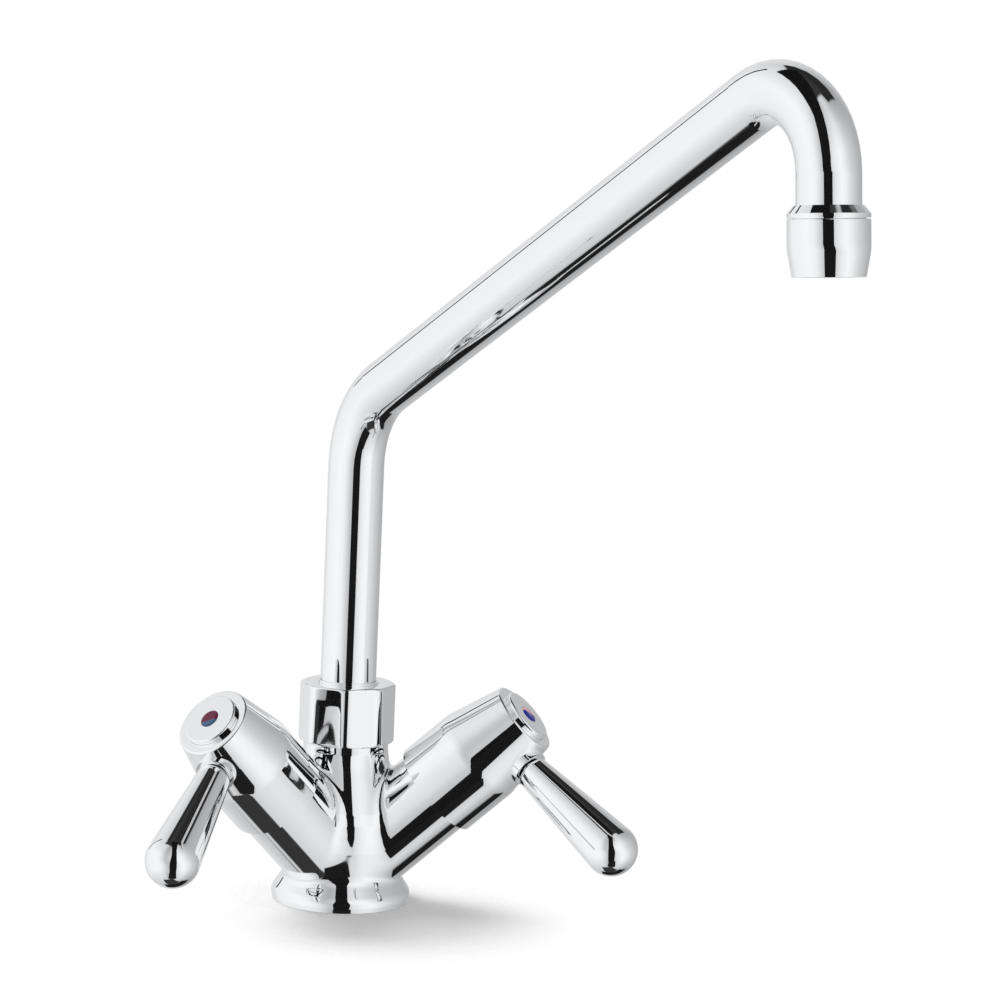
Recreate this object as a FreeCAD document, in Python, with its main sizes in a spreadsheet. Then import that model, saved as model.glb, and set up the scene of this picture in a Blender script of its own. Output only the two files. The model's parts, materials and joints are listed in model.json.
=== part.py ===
"""Two handle kitchen faucet: a cast body with two inclined arms, a swivelling spout and two lever handles.

Millimetres and degrees. The origin is the centre of the foot's underside, at deck level, +Z is up and the
front of the faucet faces -Y. The hot side is at -X and the cold side at +X. The spout is drawn turned
towards the cold side, and both handles are drawn shut.
"""
import FreeCAD, Part
import math
import os
import re
import Sketcher

# Driving sizes: name, value, what it is.
SIZES = (
    # the cast body
    ("foot_base_radius", 22.0, "foot where it meets the deck"),
    ("foot_radius", 22.9, "foot at its widest"),
    ("foot_edge_height", 3.2, "height of the widest line of the foot"),
    ("foot_height", 11.6, "top of the foot's flare, inside the throat"),
    ("waist_radius", 17.2, "top of the foot's flare, inside the throat"),
    ("throat_radius", 19.4, "tapering throat between the arms, at deck level"),
    ("column_foot", 48.0, "upper end of the throat"),
    ("column_radius", 13.2, "column below the spout nut"),
    ("column_step", 0.6, "column above the nut's underside"),
    ("column_top", 60.0, "rim that the spout seats on"),
    ("column_thread_radius", 12.0, "male thread under the spout nut, M24"),
    ("column_bore_radius", 7.0, "mixing chamber"),
    ("mixing_floor", 31.0, "floor of the mixing chamber"),
    ("arm_tilt", 47.25, "arm axis from the vertical"),
    ("arm_spread", 60.8, "arm axis from the front, seen from above"),
    ("arm_cross_height", 10.2, "where both arm axes meet the column axis"),
    ("arm_radius", 14.6, "outside of an arm"),
    ("arm_end", 50.0, "machined end face of an arm, along its axis"),
    ("arm_bore_radius", 10.48, "bore of an arm for the headwork, G1/2"),
    ("valve_seat", 24.0, "valve seat, along the arm axis"),
    ("seat_hole_radius", 4.2, "water hole in the valve seat"),
    ("mix_port_radius", 3.2, "port from an arm to the mixing chamber"),
    ("arm_start", 1.0, "inner end of an arm's cylinder, inside the body"),
    ("crotch_round", 6.0, "blend where an arm leaves the body"),
    ("inlet_radius", 5.0, "inlet thread, M10 x 1"),
    ("inlet_depth", 12.0, "depth of the inlet thread"),
    ("inlet_along_arm", 15.0, "arm axis point straight above an inlet"),
    ("stud_radius", 4.0, "fixing stud thread, M8"),
    ("stud_depth", 14.0, "depth of the fixing stud thread"),
    ("stud_back", 8.5, "fixing stud behind the column axis"),
    ("seal_inner_radius", 17.4, "foot seal, inside"),
    ("seal_outer_radius", 20.2, "foot seal, outside"),
    ("seal_thickness", 2.0, "foot seal"),
    # clearances
    ("running_gap", 0.1, "radial play of a turning fit"),
    ("thread_gap", 0.05, "radial play of a thread or a brazed joint"),
    ("face_gap", 0.3, "play between faces that turn past each other"),
    # the spout nut and the spout bearing
    ("nut_across", 29.2, "spout nut across its flats"),
    ("nut_flats", 8, "sides of the spout nut"),
    ("nut_bottom", 52.2, "underside of the spout nut"),
    ("nut_top", 71.6, "top of the spout nut"),
    ("nut_chamfer", 1.0, "bevel on the corners of the nut"),
    ("slip_ring_lip", 0.7, "slip ring showing above the nut"),
    ("slip_ring_wall", 0.7, "slip ring around the tube"),
    ("slip_ring_flange", 1.6, "thickness of the slip ring's flange"),
    ("spigot_radius", 10.4, "spigot that turns in the column"),
    ("spigot_bottom", 43.5, "lower end of the spigot"),
    ("spigot_flange_radius", 11.6, "flange that carries the spout"),
    ("spigot_flange", 2.2, "thickness of that flange"),
    ("spigot_socket", 7.0, "depth of the tube's socket below the flange"),
    ("spigot_bore_radius", 6.6, "water way through the spigot"),
    ("o_ring_section", 1.8, "thickness of a spout O-ring"),
    ("o_ring_pitch", 4.6, "between the two spout O-rings"),
    # the spout tube
    ("tube_radius", 9.0, "spout tube, outside"),
    ("tube_wall", 1.0, "spout tube, wall"),
    ("spout_turn", 17.4, "spout as drawn, from the front towards the cold side"),
    ("riser_length", 81.9, "straight tube above the column rim up to the lower bend"),
    ("lower_bend_radius", 30.8, "centre line of the lower bend"),
    ("spout_rise", 28.5, "slope of the long run above level"),
    ("long_run", 204.6, "straight tube between the bends"),
    ("upper_bend_radius", 22.6, "centre line of the upper bend"),
    ("outlet_tilt", 5.0, "outlet from straight down"),
    ("drop_length", 8.8, "straight tube from the upper bend to the outlet adaptor"),
    # the outlet; heights run from the adaptor's upper end, along the water's way
    ("adaptor_radius", 11.4, "outlet adaptor"),
    ("adaptor_slope", 2.2, "length of the adaptor's sloping shoulder"),
    ("adaptor_collar", 3.3, "end of the adaptor's collar"),
    ("adaptor_socket", 6.0, "depth of the tube's socket"),
    ("adaptor_end", 10.2, "lower end of the adaptor"),
    ("adaptor_thread_radius", 10.0, "male thread of the adaptor, M20 x 1"),
    ("adaptor_bore_radius", 7.6, "water way through the adaptor"),
    ("housing_top", 3.65, "upper rim of the aerator housing"),
    ("housing_waist", 12.0, "where the housing starts to draw in"),
    ("housing_end", 19.3, "mouth of the aerator housing"),
    ("housing_mouth_radius", 10.1, "outside of the mouth"),
    ("gasket_thickness", 1.5, "aerator gasket"),
    ("insert_flange", 1.3, "flange of the aerator insert"),
    ("insert_radius", 9.0, "barrel of the aerator insert"),
    ("insert_wall", 0.9, "wall of the aerator insert"),
    ("insert_floor", 1.2, "honeycomb floor of the aerator insert"),
    ("cell_size", 1.9, "opening of a honeycomb cell"),
    ("cell_pitch", 2.5, "between honeycomb cells"),
    ("mouth_lip", 0.8, "lip that holds the insert"),
    ("screen_thickness", 0.4, "aerator screen"),
    # a headwork; heights run along the arm axis
    ("shank_radius", 8.6, "headwork below its thread"),
    ("shank_end", 25.0, "lower end of the headwork"),
    ("shank_top", 37.0, "where the headwork's thread starts"),
    ("chamber_radius", 7.6, "disc chamber"),
    ("chamber_top", 36.4, "roof of the disc chamber"),
    ("window_width", 6.5, "side window of the headwork"),
    ("window_bottom", 32.6, "lower edge of a side window"),
    ("window_height", 3.4, "side window, along the axis"),
    ("flange_radius", 12.7, "headwork flange"),
    ("flange_seal", 1.0, "seal under the headwork flange"),
    ("flange_thickness", 2.0, "headwork flange"),
    ("hex_across", 17.0, "headwork hexagon across its flats"),
    ("hex_height", 5.0, "headwork hexagon"),
    ("neck_radius", 6.8, "neck above the hexagon"),
    ("neck_top", 63.0, "upper end of the headwork"),
    ("inlet_seal_height", 2.4, "rubber seal on the valve seat"),
    ("disc_thickness", 3.0, "ceramic disc"),
    ("disc_window_radius", 5.3, "reach of a window in a disc"),
    ("disc_window_angle", 76.0, "sweep of a window in a disc"),
    ("disc_bridge", 0.8, "bridge between a disc's windows, half its width"),
    ("drive_width", 3.0, "notch in the turning disc"),
    ("drive_depth", 1.8, "depth of that notch"),
    ("spindle_radius", 4.0, "spindle"),
    ("spindle_foot", 3.0, "thickness of the spindle's foot"),
    ("spindle_foot_width", 6.4, "bar-shaped foot of the spindle, across"),
    ("spindle_top", 74.2, "upper end of the spindle"),
    ("spindle_groove", 0.9, "depth of the O-ring groove"),
    ("spindle_groove_at", 43.0, "centre of the O-ring groove"),
    ("clip_radius", 6.0, "retaining clip"),
    ("clip_thickness", 0.7, "retaining clip"),
    # a handle; heights run along the arm axis
    ("hood_back", 42.0, "rear rim of the hood"),
    ("hood_radius", 16.2, "rear of the hood"),
    ("hood_gap", 0.35, "between the arm and the hood"),
    ("hood_shoulder", 60.5, "where the hood starts to draw in"),
    ("hood_shoulder_round", 14.0, "rounding of that shoulder"),
    ("hood_front_radius", 12.2, "front face of the hood"),
    ("hood_front", 80.0, "front face of the hood"),
    ("hood_edge_round", 0.7, "edge of the front face"),
    ("hood_wall", 2.0, "wall of the hood's drawn-in part"),
    ("hood_roof", 7.2, "thickness of the hood's front"),
    ("hub_radius", 6.6, "hub on the spindle"),
    ("hub_bottom", 64.2, "lower end of the hub"),
    ("button_radius", 9.0, "index button"),
    ("button_seat", 2.4, "depth of the button's seat"),
    ("button_stand", 1.7, "button above the front face"),
    ("button_round", 0.6, "edge of the button"),
    ("lens_radius", 3.1, "coloured lens"),
    ("lens_seat", 0.8, "depth of the lens seat"),
    ("lens_stand", 0.5, "middle of the lens above the button"),
    ("lens_round", 0.9, "cushion edge of the lens"),
    ("screw_radius", 2.0, "handle screw, M4"),
    ("screw_head_radius", 3.5, "head of the handle screw"),
    ("screw_head", 2.2, "head of the handle screw"),
    ("screw_reach", 8.0, "handle screw inside the spindle"),
    ("screw_socket", 1.5, "hexagon socket of the screw, half its width"),
    ("lever_along", 71.7, "lever axis on the hood, along the arm axis"),
    ("lever_out", 13.5, "lever root, from the arm axis"),
    ("lever_tilt", 12.0, "lever from square to the arm, outwards"),
    ("lever_turn", 23.0, "lever as drawn, from straight down towards the front"),
    ("lever_boss_radius", 6.2, "boss that carries the lever"),
    ("lever_boss_stand", 1.7, "top of the boss from the lever root"),
    ("boss_in_hub", 1.1, "how far the boss runs into the hub's wall"),
    ("lever_neck_radius", 3.0, "neck screwed into the boss"),
    ("lever_neck_length", 6.5, "neck inside the boss"),
    ("lever_root_radius", 5.3, "root of the lever"),
    ("lever_root_round", 1.6, "shoulder of the root"),
    ("lever_length", 40.9, "lever root to the ball's centre"),
    ("ball_radius", 8.5, "ball end of the lever"),
)

doc = FreeCAD.newDocument("kitchen_faucet")
sheet = doc.addObject("Spreadsheet::Sheet", "sizes")
for row, (alias, number, meaning) in enumerate(SIZES, start=1):
    sheet.set(f"A{row}", str(number))
    sheet.set(f"B{row}", meaning)
    sheet.setAlias(f"A{row}", alias)
doc.recompute()

sub_parts = []


def size(alias):
    """A driving size as a plain number."""
    return float(sheet.get(alias))


def bound(text):
    """An expression in which every driving size is read from the sheet."""
    names = {alias for alias, _, _ in SIZES}
    return re.sub(r"[a-z_]+", lambda word: f"sizes.{word[0]}" if word[0] in names else word[0], text)


def keep(piece, label, placement=None):
    """Name a finished sub-part and put it in its place."""
    piece.Label = label
    if placement is not None:
        piece.Placement = placement
    sub_parts.append(piece)
    return piece


# ---------------------------------------------------------------- sketches and features

def origin_plane(body, role):
    return [item for item in body.Origin.OriginFeatures if item.Role == role][0]


def new_sketch(body, role="XY_Plane", lift=None):
    """A sketch on one of the body's own planes, lifted along that plane's normal."""
    sketch = body.newObject("Sketcher::SketchObject", "Outline")
    sketch.AttachmentSupport = (origin_plane(body, role), "")
    sketch.MapMode = "FlatFace"
    if lift is not None:
        sketch.setExpression("AttachmentOffset.Base.z", bound(lift))
    return sketch


def draw_outline(sketch, corners):
    """A closed outline whose corners are bound to expressions."""
    count = len(corners)
    first = sketch.GeometryCount
    ring = [
        FreeCAD.Vector(math.cos(2 * math.pi * k / count), math.sin(2 * math.pi * k / count), 0)
        for k in range(count)
    ]
    for k in range(count):
        sketch.addGeometry(Part.LineSegment(ring[k], ring[(k + 1) % count]), False)
    for k in range(count):
        following = first + (k + 1) % count
        sketch.addConstraint(Sketcher.Constraint("Coincident", first + k, 2, following, 1))
    for k, (across, along) in enumerate(corners):
        for kind, text, start in (("DistanceX", across, ring[k].x), ("DistanceY", along, ring[k].y)):
            index = sketch.addConstraint(Sketcher.Constraint(kind, -1, 1, first + k, 1, start))
            sketch.setExpression(f"Constraints[{index}]", bound(text))


def draw_circle(sketch, across, along, radius):
    """A circle whose centre and radius are bound to expressions."""
    index = sketch.addGeometry(Part.Circle(FreeCAD.Vector(1, 1, 0), FreeCAD.Vector(0, 0, 1), 1), False)
    wanted = (
        (Sketcher.Constraint("DistanceX", -1, 1, index, 3, 1), across),
        (Sketcher.Constraint("DistanceY", -1, 1, index, 3, 1), along),
        (Sketcher.Constraint("Radius", index, 1), radius),
    )
    for constraint, text in wanted:
        number = sketch.addConstraint(constraint)
        sketch.setExpression(f"Constraints[{number}]", bound(text))


def polygon(sides, across):
    """Corners of a regular polygon, given across its flats, with a corner towards -Y."""
    radius = f"( {across} ) / 2 / cos( 180 deg / {sides} )"
    return [
        (f"{radius} * cos( 360 deg * {k} / {sides} - 90 deg )", f"{radius} * sin( 360 deg * {k} / {sides} - 90 deg )")
        for k in range(sides)
    ]


def ring_edges(shape, radius, height):
    """Names of the circular edges about the Z axis with this radius and height."""
    names = []
    for number, edge in enumerate(shape.Edges, start=1):
        curve = edge.Curve
        if not isinstance(curve, Part.Circle):
            continue
        off_axis = math.hypot(curve.Center.x, curve.Center.y)
        if off_axis < 1e-4 and abs(curve.Radius - radius) < 1e-4 and abs(curve.Center.z - height) < 1e-4:
            names.append(f"Edge{number}")
    return names


def turned_body(name, profile, rounds=()):
    """A body turned about Z from (radius, height) corners; rounds are (corner number, radius)."""
    body = doc.addObject("PartDesign::Body", name)
    sketch = new_sketch(body, "XZ_Plane")
    draw_outline(sketch, profile)
    turn = body.newObject("PartDesign::Revolution", "Turned")
    turn.Profile = (sketch, [""])
    turn.ReferenceAxis = (sketch, ["V_Axis"])
    turn.Angle = 360
    doc.recompute()
    corners = [segment.StartPoint for segment in sketch.Geometry]
    feature = turn
    for corner, radius in rounds:
        edges = ring_edges(feature.Shape, corners[corner].x, corners[corner].y)
        fillet = body.newObject("PartDesign::Fillet", "Round")
        fillet.Base = (feature, edges)
        fillet.setExpression("Radius", bound(radius))
        doc.recompute()
        feature = fillet
    return body


def add_primitive(body, kind, name, values, lift=(0, 0, 0), turn=None):
    """A PartDesign primitive on the body's XY plane, at a fixed offset, with bound sizes."""
    piece = body.newObject(f"PartDesign::{kind}", name)
    piece.AttachmentSupport = (origin_plane(body, "XY_Plane"), "")
    piece.MapMode = "FlatFace"
    rotation = turn if turn is not None else FreeCAD.Rotation()
    piece.AttachmentOffset = FreeCAD.Placement(FreeCAD.Vector(*lift), rotation)
    for prop, text in values.items():
        piece.setExpression(prop, bound(text))
    doc.recompute()
    return piece


def cut_flats(body, sides, across, corner_radius, top, height):
    """Turn a round stretch into a prism by cutting away what is outside its flats."""
    before = body.Shape.Volume
    sketch = new_sketch(body, "XY_Plane", top)
    draw_circle(sketch, "0", "0", f"( {corner_radius} ) + 1")
    draw_outline(sketch, polygon(sides, across))
    pocket = body.newObject("PartDesign::Pocket", "Flats")
    pocket.Profile = (sketch, [""])
    pocket.setExpression("Length", bound(height))
    doc.recompute()
    assert pocket.Shape.Volume < before, "the flats cut nothing"
    return pocket


# ---------------------------------------------------------------- where things lie

def arm_frame(side):
    """Placement that lays a piece's own Z axis along an arm; -1 is the hot side, 1 the cold side."""
    spread = side * size("arm_spread") - 90.0
    about_z = FreeCAD.Rotation(FreeCAD.Vector(0, 0, 1), spread)
    lean = FreeCAD.Rotation(FreeCAD.Vector(0, 1, 0), size("arm_tilt"))
    return FreeCAD.Placement(FreeCAD.Vector(0, 0, size("arm_cross_height")), about_z.multiply(lean))


def lever_frame(side):
    """Placement of a lever in its arm's frame: its own Z axis runs from the root to the ball."""
    about_axis = FreeCAD.Rotation(FreeCAD.Vector(0, 0, 1), -side * size("lever_turn"))
    down = FreeCAD.Rotation(FreeCAD.Vector(0, 1, 0), 90.0 - size("lever_tilt"))
    root = about_axis.multVec(FreeCAD.Vector(size("lever_out"), 0, size("lever_along")))
    return FreeCAD.Placement(root, about_axis.multiply(down))


def spout_frame():
    """Placement of the spout: its own XZ plane is the plane of the bent tube."""
    return FreeCAD.Placement(FreeCAD.Vector(), FreeCAD.Rotation(FreeCAD.Vector(0, 0, 1), size("spout_turn") - 90.0))


def path_points():
    """The spout's centre line in its own plane: ends of each straight run, and the bends' middles."""
    rise = math.radians(size("spout_rise"))
    fall = math.radians(size("outlet_tilt") - 90.0)
    heading = math.pi / 2
    x, z = 0.0, size("column_top") - size("spigot_socket")
    points = [(x, z)]
    z += size("riser_length") + size("spigot_socket")
    points.append((x, z))
    for radius, new_heading, run in (
        (size("lower_bend_radius"), rise, size("long_run")),
        (size("upper_bend_radius"), fall, size("drop_length") + size("adaptor_socket")),
    ):
        centre_x = x + radius * math.sin(heading)
        centre_z = z - radius * math.cos(heading)
        for angle in ((heading + new_heading) / 2, new_heading):
            points.append((centre_x - radius * math.sin(angle), centre_z + radius * math.cos(angle)))
        x, z = points[-1]
        x += run * math.cos(new_heading)
        z += run * math.sin(new_heading)
        points.append((x, z))
        heading = new_heading
    return points


def outlet_frame():
    """Placement of the outlet pieces: own Z runs down the water's way from the adaptor's upper end."""
    end_x, end_z = path_points()[-1]
    lean = FreeCAD.Rotation(FreeCAD.Vector(0, 1, 0), 180.0 - size("outlet_tilt"))
    back = lean.multVec(FreeCAD.Vector(0, 0, -size("adaptor_socket")))
    here = FreeCAD.Placement(FreeCAD.Vector(end_x, 0, end_z) + back, lean)
    return spout_frame().multiply(here)


# ---------------------------------------------------------------- the cast body

def cylinder(name, radius, height, placement):
    piece = doc.addObject("Part::Cylinder", name)
    piece.setExpression("Radius", bound(radius))
    piece.setExpression("Height", bound(height))
    piece.Placement = placement
    return piece


def along_arm(side, distance):
    """An arm's frame moved out along the arm's axis."""
    return arm_frame(side).multiply(FreeCAD.Placement(FreeCAD.Vector(0, 0, distance), FreeCAD.Rotation()))


def from_to(start, end):
    """Placement whose Z axis runs from one point to another, and the distance."""
    way = end - start
    return FreeCAD.Placement(start, FreeCAD.Rotation(FreeCAD.Vector(0, 0, 1), way)), way.Length


def lies_on_arm(edge, side):
    """Whether an edge runs along the outside of an arm, other than its end circles."""
    if isinstance(edge.Curve, (Part.Circle, Part.Line)):
        return False
    frame = arm_frame(side)
    into_arm = frame.inverse()
    span = edge.LastParameter - edge.FirstParameter
    for share in (0.2, 0.5, 0.8):
        point = into_arm.multVec(edge.valueAt(edge.FirstParameter + share * span))
        if abs(math.hypot(point.x, point.y) - size("arm_radius")) > 1e-3:
            return False
    return True


def casting_half(core, word, side):
    """The body with one arm, blended into it all round."""
    arm = cylinder(f"arm_{word}", "arm_radius", "arm_end - arm_start", along_arm(side, size("arm_start")))
    joined = doc.addObject("Part::Fuse", f"joined_{word}")
    joined.Base, joined.Tool = core, arm
    joined.Refine = True
    doc.recompute()
    edges = [number for number, edge in enumerate(joined.Shape.Edges, start=1) if lies_on_arm(edge, side)]
    blended = doc.addObject("Part::Fillet", f"blended_{word}")
    blended.Base = joined
    blended.Edges = [(number, size("crotch_round"), size("crotch_round")) for number in edges]
    doc.recompute()
    return blended


def water_ways():
    """Everything that is hollow inside the casting, as one tool."""
    tools = []
    upright = FreeCAD.Rotation()
    below = FreeCAD.Vector(0, 0, -1)
    for word, side in SIDES:
        tools.append(cylinder(f"bore_{word}", "arm_bore_radius", "arm_end - valve_seat + 1",
                              along_arm(side, size("valve_seat"))))
        tools.append(cylinder(f"seat_{word}", "seat_hole_radius", "valve_seat - inlet_along_arm + 1",
                              along_arm(side, size("inlet_along_arm"))))
        above_inlet = along_arm(side, size("inlet_along_arm")).Base
        foot_point = FreeCAD.Vector(above_inlet.x, above_inlet.y, 0) + below
        feed, rise = from_to(foot_point, above_inlet + FreeCAD.Vector(0, 0, size("seat_hole_radius") / 2))
        tools.append(cylinder(f"feed_{word}", "seat_hole_radius", f"{rise}", feed))
        tools.append(cylinder(f"inlet_{word}", "inlet_radius", "inlet_depth + 1",
                              FreeCAD.Placement(foot_point, upright)))
        port_start = along_arm(side, (size("shank_end") + size("shank_top")) / 2).Base
        port_end = FreeCAD.Vector(0, 0, port_start.z + size("arm_bore_radius"))
        port, way = from_to(port_start, port_end)
        tools.append(cylinder(f"port_{word}", "mix_port_radius", f"{way}", port))
    tools.append(cylinder("mixing_chamber", "column_bore_radius", "column_top - mixing_floor",
                          FreeCAD.Placement(FreeCAD.Vector(0, 0, size("mixing_floor")), upright)))
    spigot_floor = FreeCAD.Vector(0, 0, size("spigot_bottom") - size("face_gap"))
    tools.append(cylinder("spigot_bore", "spigot_radius + running_gap",
                          "column_top - spigot_bottom + face_gap + 1", FreeCAD.Placement(spigot_floor, upright)))
    stud_point = FreeCAD.Vector(0, size("stud_back"), 0) + below
    tools.append(cylinder("stud_hole", "stud_radius", "stud_depth + 1", FreeCAD.Placement(stud_point, upright)))
    at_deck = FreeCAD.Placement(below, upright)
    groove = doc.addObject("Part::Cut", "seal_groove")
    groove.Base = cylinder("groove_outer", "seal_outer_radius + thread_gap", "seal_thickness + 1", at_deck)
    groove.Tool = cylinder("groove_inner", "seal_inner_radius - thread_gap", "seal_thickness + 1", at_deck)
    tools.append(groove)
    hollow = doc.addObject("Part::MultiFuse", "water_ways")
    hollow.Shapes = tools
    doc.recompute()
    return hollow


def make_faucet_body():
    core = turned_body(
        "casting_core",
        [
            ("0", "0"),
            ("throat_radius", "0"),
            ("column_radius", "column_foot"),
            ("column_radius", "nut_bottom + column_step"),
            ("column_thread_radius", "nut_bottom + column_step"),
            ("column_thread_radius", "column_top"),
            ("0", "column_top"),
        ],
    )
    core.Placement = FreeCAD.Placement(FreeCAD.Vector(), FreeCAD.Rotation(FreeCAD.Vector(0, 0, 1), 90))
    foot = turned_body(
        "casting_foot",
        [
            ("0", "0"),
            ("foot_base_radius", "0"),
            ("foot_radius", "foot_edge_height"),
            ("waist_radius", "foot_height"),
            ("0", "foot_height"),
        ],
        [(2, "foot_edge_height * 0.8")],
    )
    both_arms = doc.addObject("Part::Fuse", "casting_with_arms")
    both_arms.Base, both_arms.Tool = [casting_half(core, word, side) for word, side in SIDES]
    outside = doc.addObject("Part::Fuse", "casting_outside")
    outside.Base, outside.Tool = both_arms, foot
    doc.recompute()
    casting = doc.addObject("Part::Cut", "casting")
    casting.Base, casting.Tool = outside, water_ways()
    doc.recompute()
    keep(casting, "faucet_body")


def make_base_seal():
    seal = turned_body("base_seal_body", [
        ("seal_inner_radius", "0"),
        ("seal_outer_radius", "0"),
        ("seal_outer_radius", "seal_thickness - thread_gap"),
        ("seal_inner_radius", "seal_thickness - thread_gap"),
    ])
    keep(seal, "base_seal")


# ---------------------------------------------------------------- the spout nut and bearing

FLANGE_LOW = "column_top + face_gap"
FLANGE_HIGH = f"{FLANGE_LOW} + spigot_flange"
RING_LOW = f"{FLANGE_HIGH} + face_gap"
RING_HIGH = f"{RING_LOW} + slip_ring_flange"
RING_BORE = "tube_radius + running_gap"
RING_OUTSIDE = f"{RING_BORE} + slip_ring_wall"


def make_spout_nut():
    corner = "nut_across / 2 / cos( 180 deg / nut_flats )"
    step_height = "nut_bottom + column_step + thread_gap"
    body = turned_body("spout_nut_body", [
        ("column_thread_radius + thread_gap", step_height),
        ("column_radius + thread_gap", step_height),
        ("column_radius + thread_gap", "nut_bottom"),
        (f"{corner} - nut_chamfer", "nut_bottom"),
        (corner, "nut_bottom + nut_chamfer"),
        (corner, "nut_top - nut_chamfer"),
        (f"{corner} - nut_chamfer", "nut_top"),
        (f"{RING_OUTSIDE} + thread_gap", "nut_top"),
        (f"{RING_OUTSIDE} + thread_gap", f"{RING_HIGH} + thread_gap"),
        ("column_thread_radius + thread_gap", f"{RING_HIGH} + thread_gap"),
    ])
    cut_flats(body, int(size("nut_flats")), "nut_across", corner, "nut_top", "nut_top - nut_bottom")
    keep(body, "spout_nut", spout_nut_turn())


def spout_nut_turn():
    """The nut as it was tightened: one corner towards the viewer's side of the front."""
    return FreeCAD.Placement(FreeCAD.Vector(), FreeCAD.Rotation(FreeCAD.Vector(0, 0, 1), -size("spout_turn")))


def make_slip_ring():
    keep(turned_body("slip_ring_body", [
        (RING_BORE, RING_LOW),
        ("column_thread_radius - thread_gap", RING_LOW),
        ("column_thread_radius - thread_gap", RING_HIGH),
        (RING_OUTSIDE, RING_HIGH),
        (RING_OUTSIDE, "nut_top + slip_ring_lip"),
        (RING_BORE, "nut_top + slip_ring_lip"),
    ]), "spout_slip_ring")


def o_ring_heights():
    """Heights of the two spout O-rings, centres."""
    lower = "spigot_bottom + o_ring_section * 1.2"
    return (("lower", lower), ("upper", f"{lower} + o_ring_pitch"))


def make_spigot():
    half_groove = "o_ring_section * 0.55"
    groove_floor = "spigot_radius + running_gap - o_ring_section"
    corners = [("spigot_bore_radius", "spigot_bottom"), ("spigot_radius", "spigot_bottom")]
    for _, height in o_ring_heights():
        corners += [
            ("spigot_radius", f"{height} - {half_groove}"),
            (groove_floor, f"{height} - {half_groove}"),
            (groove_floor, f"{height} + {half_groove}"),
            ("spigot_radius", f"{height} + {half_groove}"),
        ]
    socket_floor = "column_top - spigot_socket"
    corners += [
        ("spigot_radius", FLANGE_LOW),
        ("spigot_flange_radius", FLANGE_LOW),
        ("spigot_flange_radius", FLANGE_HIGH),
        ("tube_radius + thread_gap", FLANGE_HIGH),
        ("tube_radius + thread_gap", socket_floor),
        ("spigot_bore_radius", socket_floor),
    ]
    keep(turned_body("spigot_body", corners), "spout_spigot", spout_frame())
    for word, height in o_ring_heights():
        make_o_ring(f"spout_o_ring_{word}", "spigot_radius + running_gap", "o_ring_section", height, spout_frame())


def make_o_ring(label, outer_radius, section, height, placement):
    """An O-ring that fills the play between its groove and the bore."""
    ring = doc.addObject("Part::Torus", label + "_torus")
    ring.setExpression("Radius1", bound(f"{outer_radius} - ( {section} ) / 2"))
    ring.setExpression("Radius2", bound(f"( {section} ) / 2 - thread_gap / 2"))
    doc.recompute()
    lift = turned_height(height)
    keep(ring, label, placement.multiply(FreeCAD.Placement(FreeCAD.Vector(0, 0, lift), FreeCAD.Rotation())))


def turned_height(text):
    """The present value of a height expression."""
    probe = doc.addObject("App::FeaturePython", "probe")
    probe.addProperty("App::PropertyFloat", "Height")
    probe.setExpression("Height", bound(text))
    doc.recompute()
    value = float(probe.Height)
    doc.removeObject(probe.Name)
    return value


# ---------------------------------------------------------------- the spout tube

def bind(sketch, constraint, text):
    """Add a constraint whose value comes from an expression."""
    index = sketch.addConstraint(constraint)
    sketch.setExpression(f"Constraints[{index}]", bound(text))


def make_spout_tube():
    body = doc.addObject("PartDesign::Body", "spout_tube_body")
    spine = new_sketch(body, "XZ_Plane")
    corners = [FreeCAD.Vector(x, z, 0) for x, z in path_points()]
    for first in range(0, 7, 3):
        spine.addGeometry(Part.LineSegment(corners[first], corners[first + 1]), False)
        if first < 6:
            spine.addGeometry(Part.Arc(*corners[first + 1:first + 4]), False)
    for line in (0, 2, 4):
        for bend, line_end in ((line - 1, 1), (line + 1, 2)):
            if 0 < bend < 4:
                meeting = spine.getPoint(line, line_end)
                bend_end = 1 if (spine.getPoint(bend, 1) - meeting).Length < 1e-6 else 2
                spine.addConstraint(Sketcher.Constraint("Tangent", line, line_end, bend, bend_end))
    spine.addConstraint(Sketcher.Constraint("PointOnObject", 0, 1, -2))
    spine.addConstraint(Sketcher.Constraint("Vertical", 0))
    bind(spine, Sketcher.Constraint("DistanceY", -1, 1, 0, 1, 1), "column_top - spigot_socket")
    bind(spine, Sketcher.Constraint("Distance", 0, 1), "riser_length + spigot_socket")
    bind(spine, Sketcher.Constraint("Radius", 1, 1), "lower_bend_radius")
    bind(spine, Sketcher.Constraint("Angle", 2, 0.5), "spout_rise * 1 deg")
    bind(spine, Sketcher.Constraint("Distance", 2, 1), "long_run")
    bind(spine, Sketcher.Constraint("Radius", 3, 1), "upper_bend_radius")
    bind(spine, Sketcher.Constraint("Angle", 4, -1.5), "( outlet_tilt - 90 ) * 1 deg")
    bind(spine, Sketcher.Constraint("Distance", 4, 1), "drop_length + adaptor_socket")
    section = new_sketch(body, "XY_Plane", "column_top - spigot_socket")
    draw_circle(section, "0", "0", "tube_radius")
    draw_circle(section, "0", "0", "tube_radius - tube_wall")
    doc.recompute()
    pipe = body.newObject("PartDesign::AdditivePipe", "Bent")
    pipe.Profile = section
    pipe.Spine = (spine, [])
    doc.recompute()
    keep(body, "spout_tube", spout_frame())


# ---------------------------------------------------------------- the outlet

GASKET_LOW = "adaptor_end + gasket_thickness + 2 * thread_gap"
INSERT_TOP = f"{GASKET_LOW} + thread_gap"
INSERT_STEP = f"{INSERT_TOP} + insert_flange"
INSERT_END = "housing_end - mouth_lip - thread_gap"
THREAD_BORE = "adaptor_thread_radius + thread_gap"
INSERT_BORE = "insert_radius + thread_gap"


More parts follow.
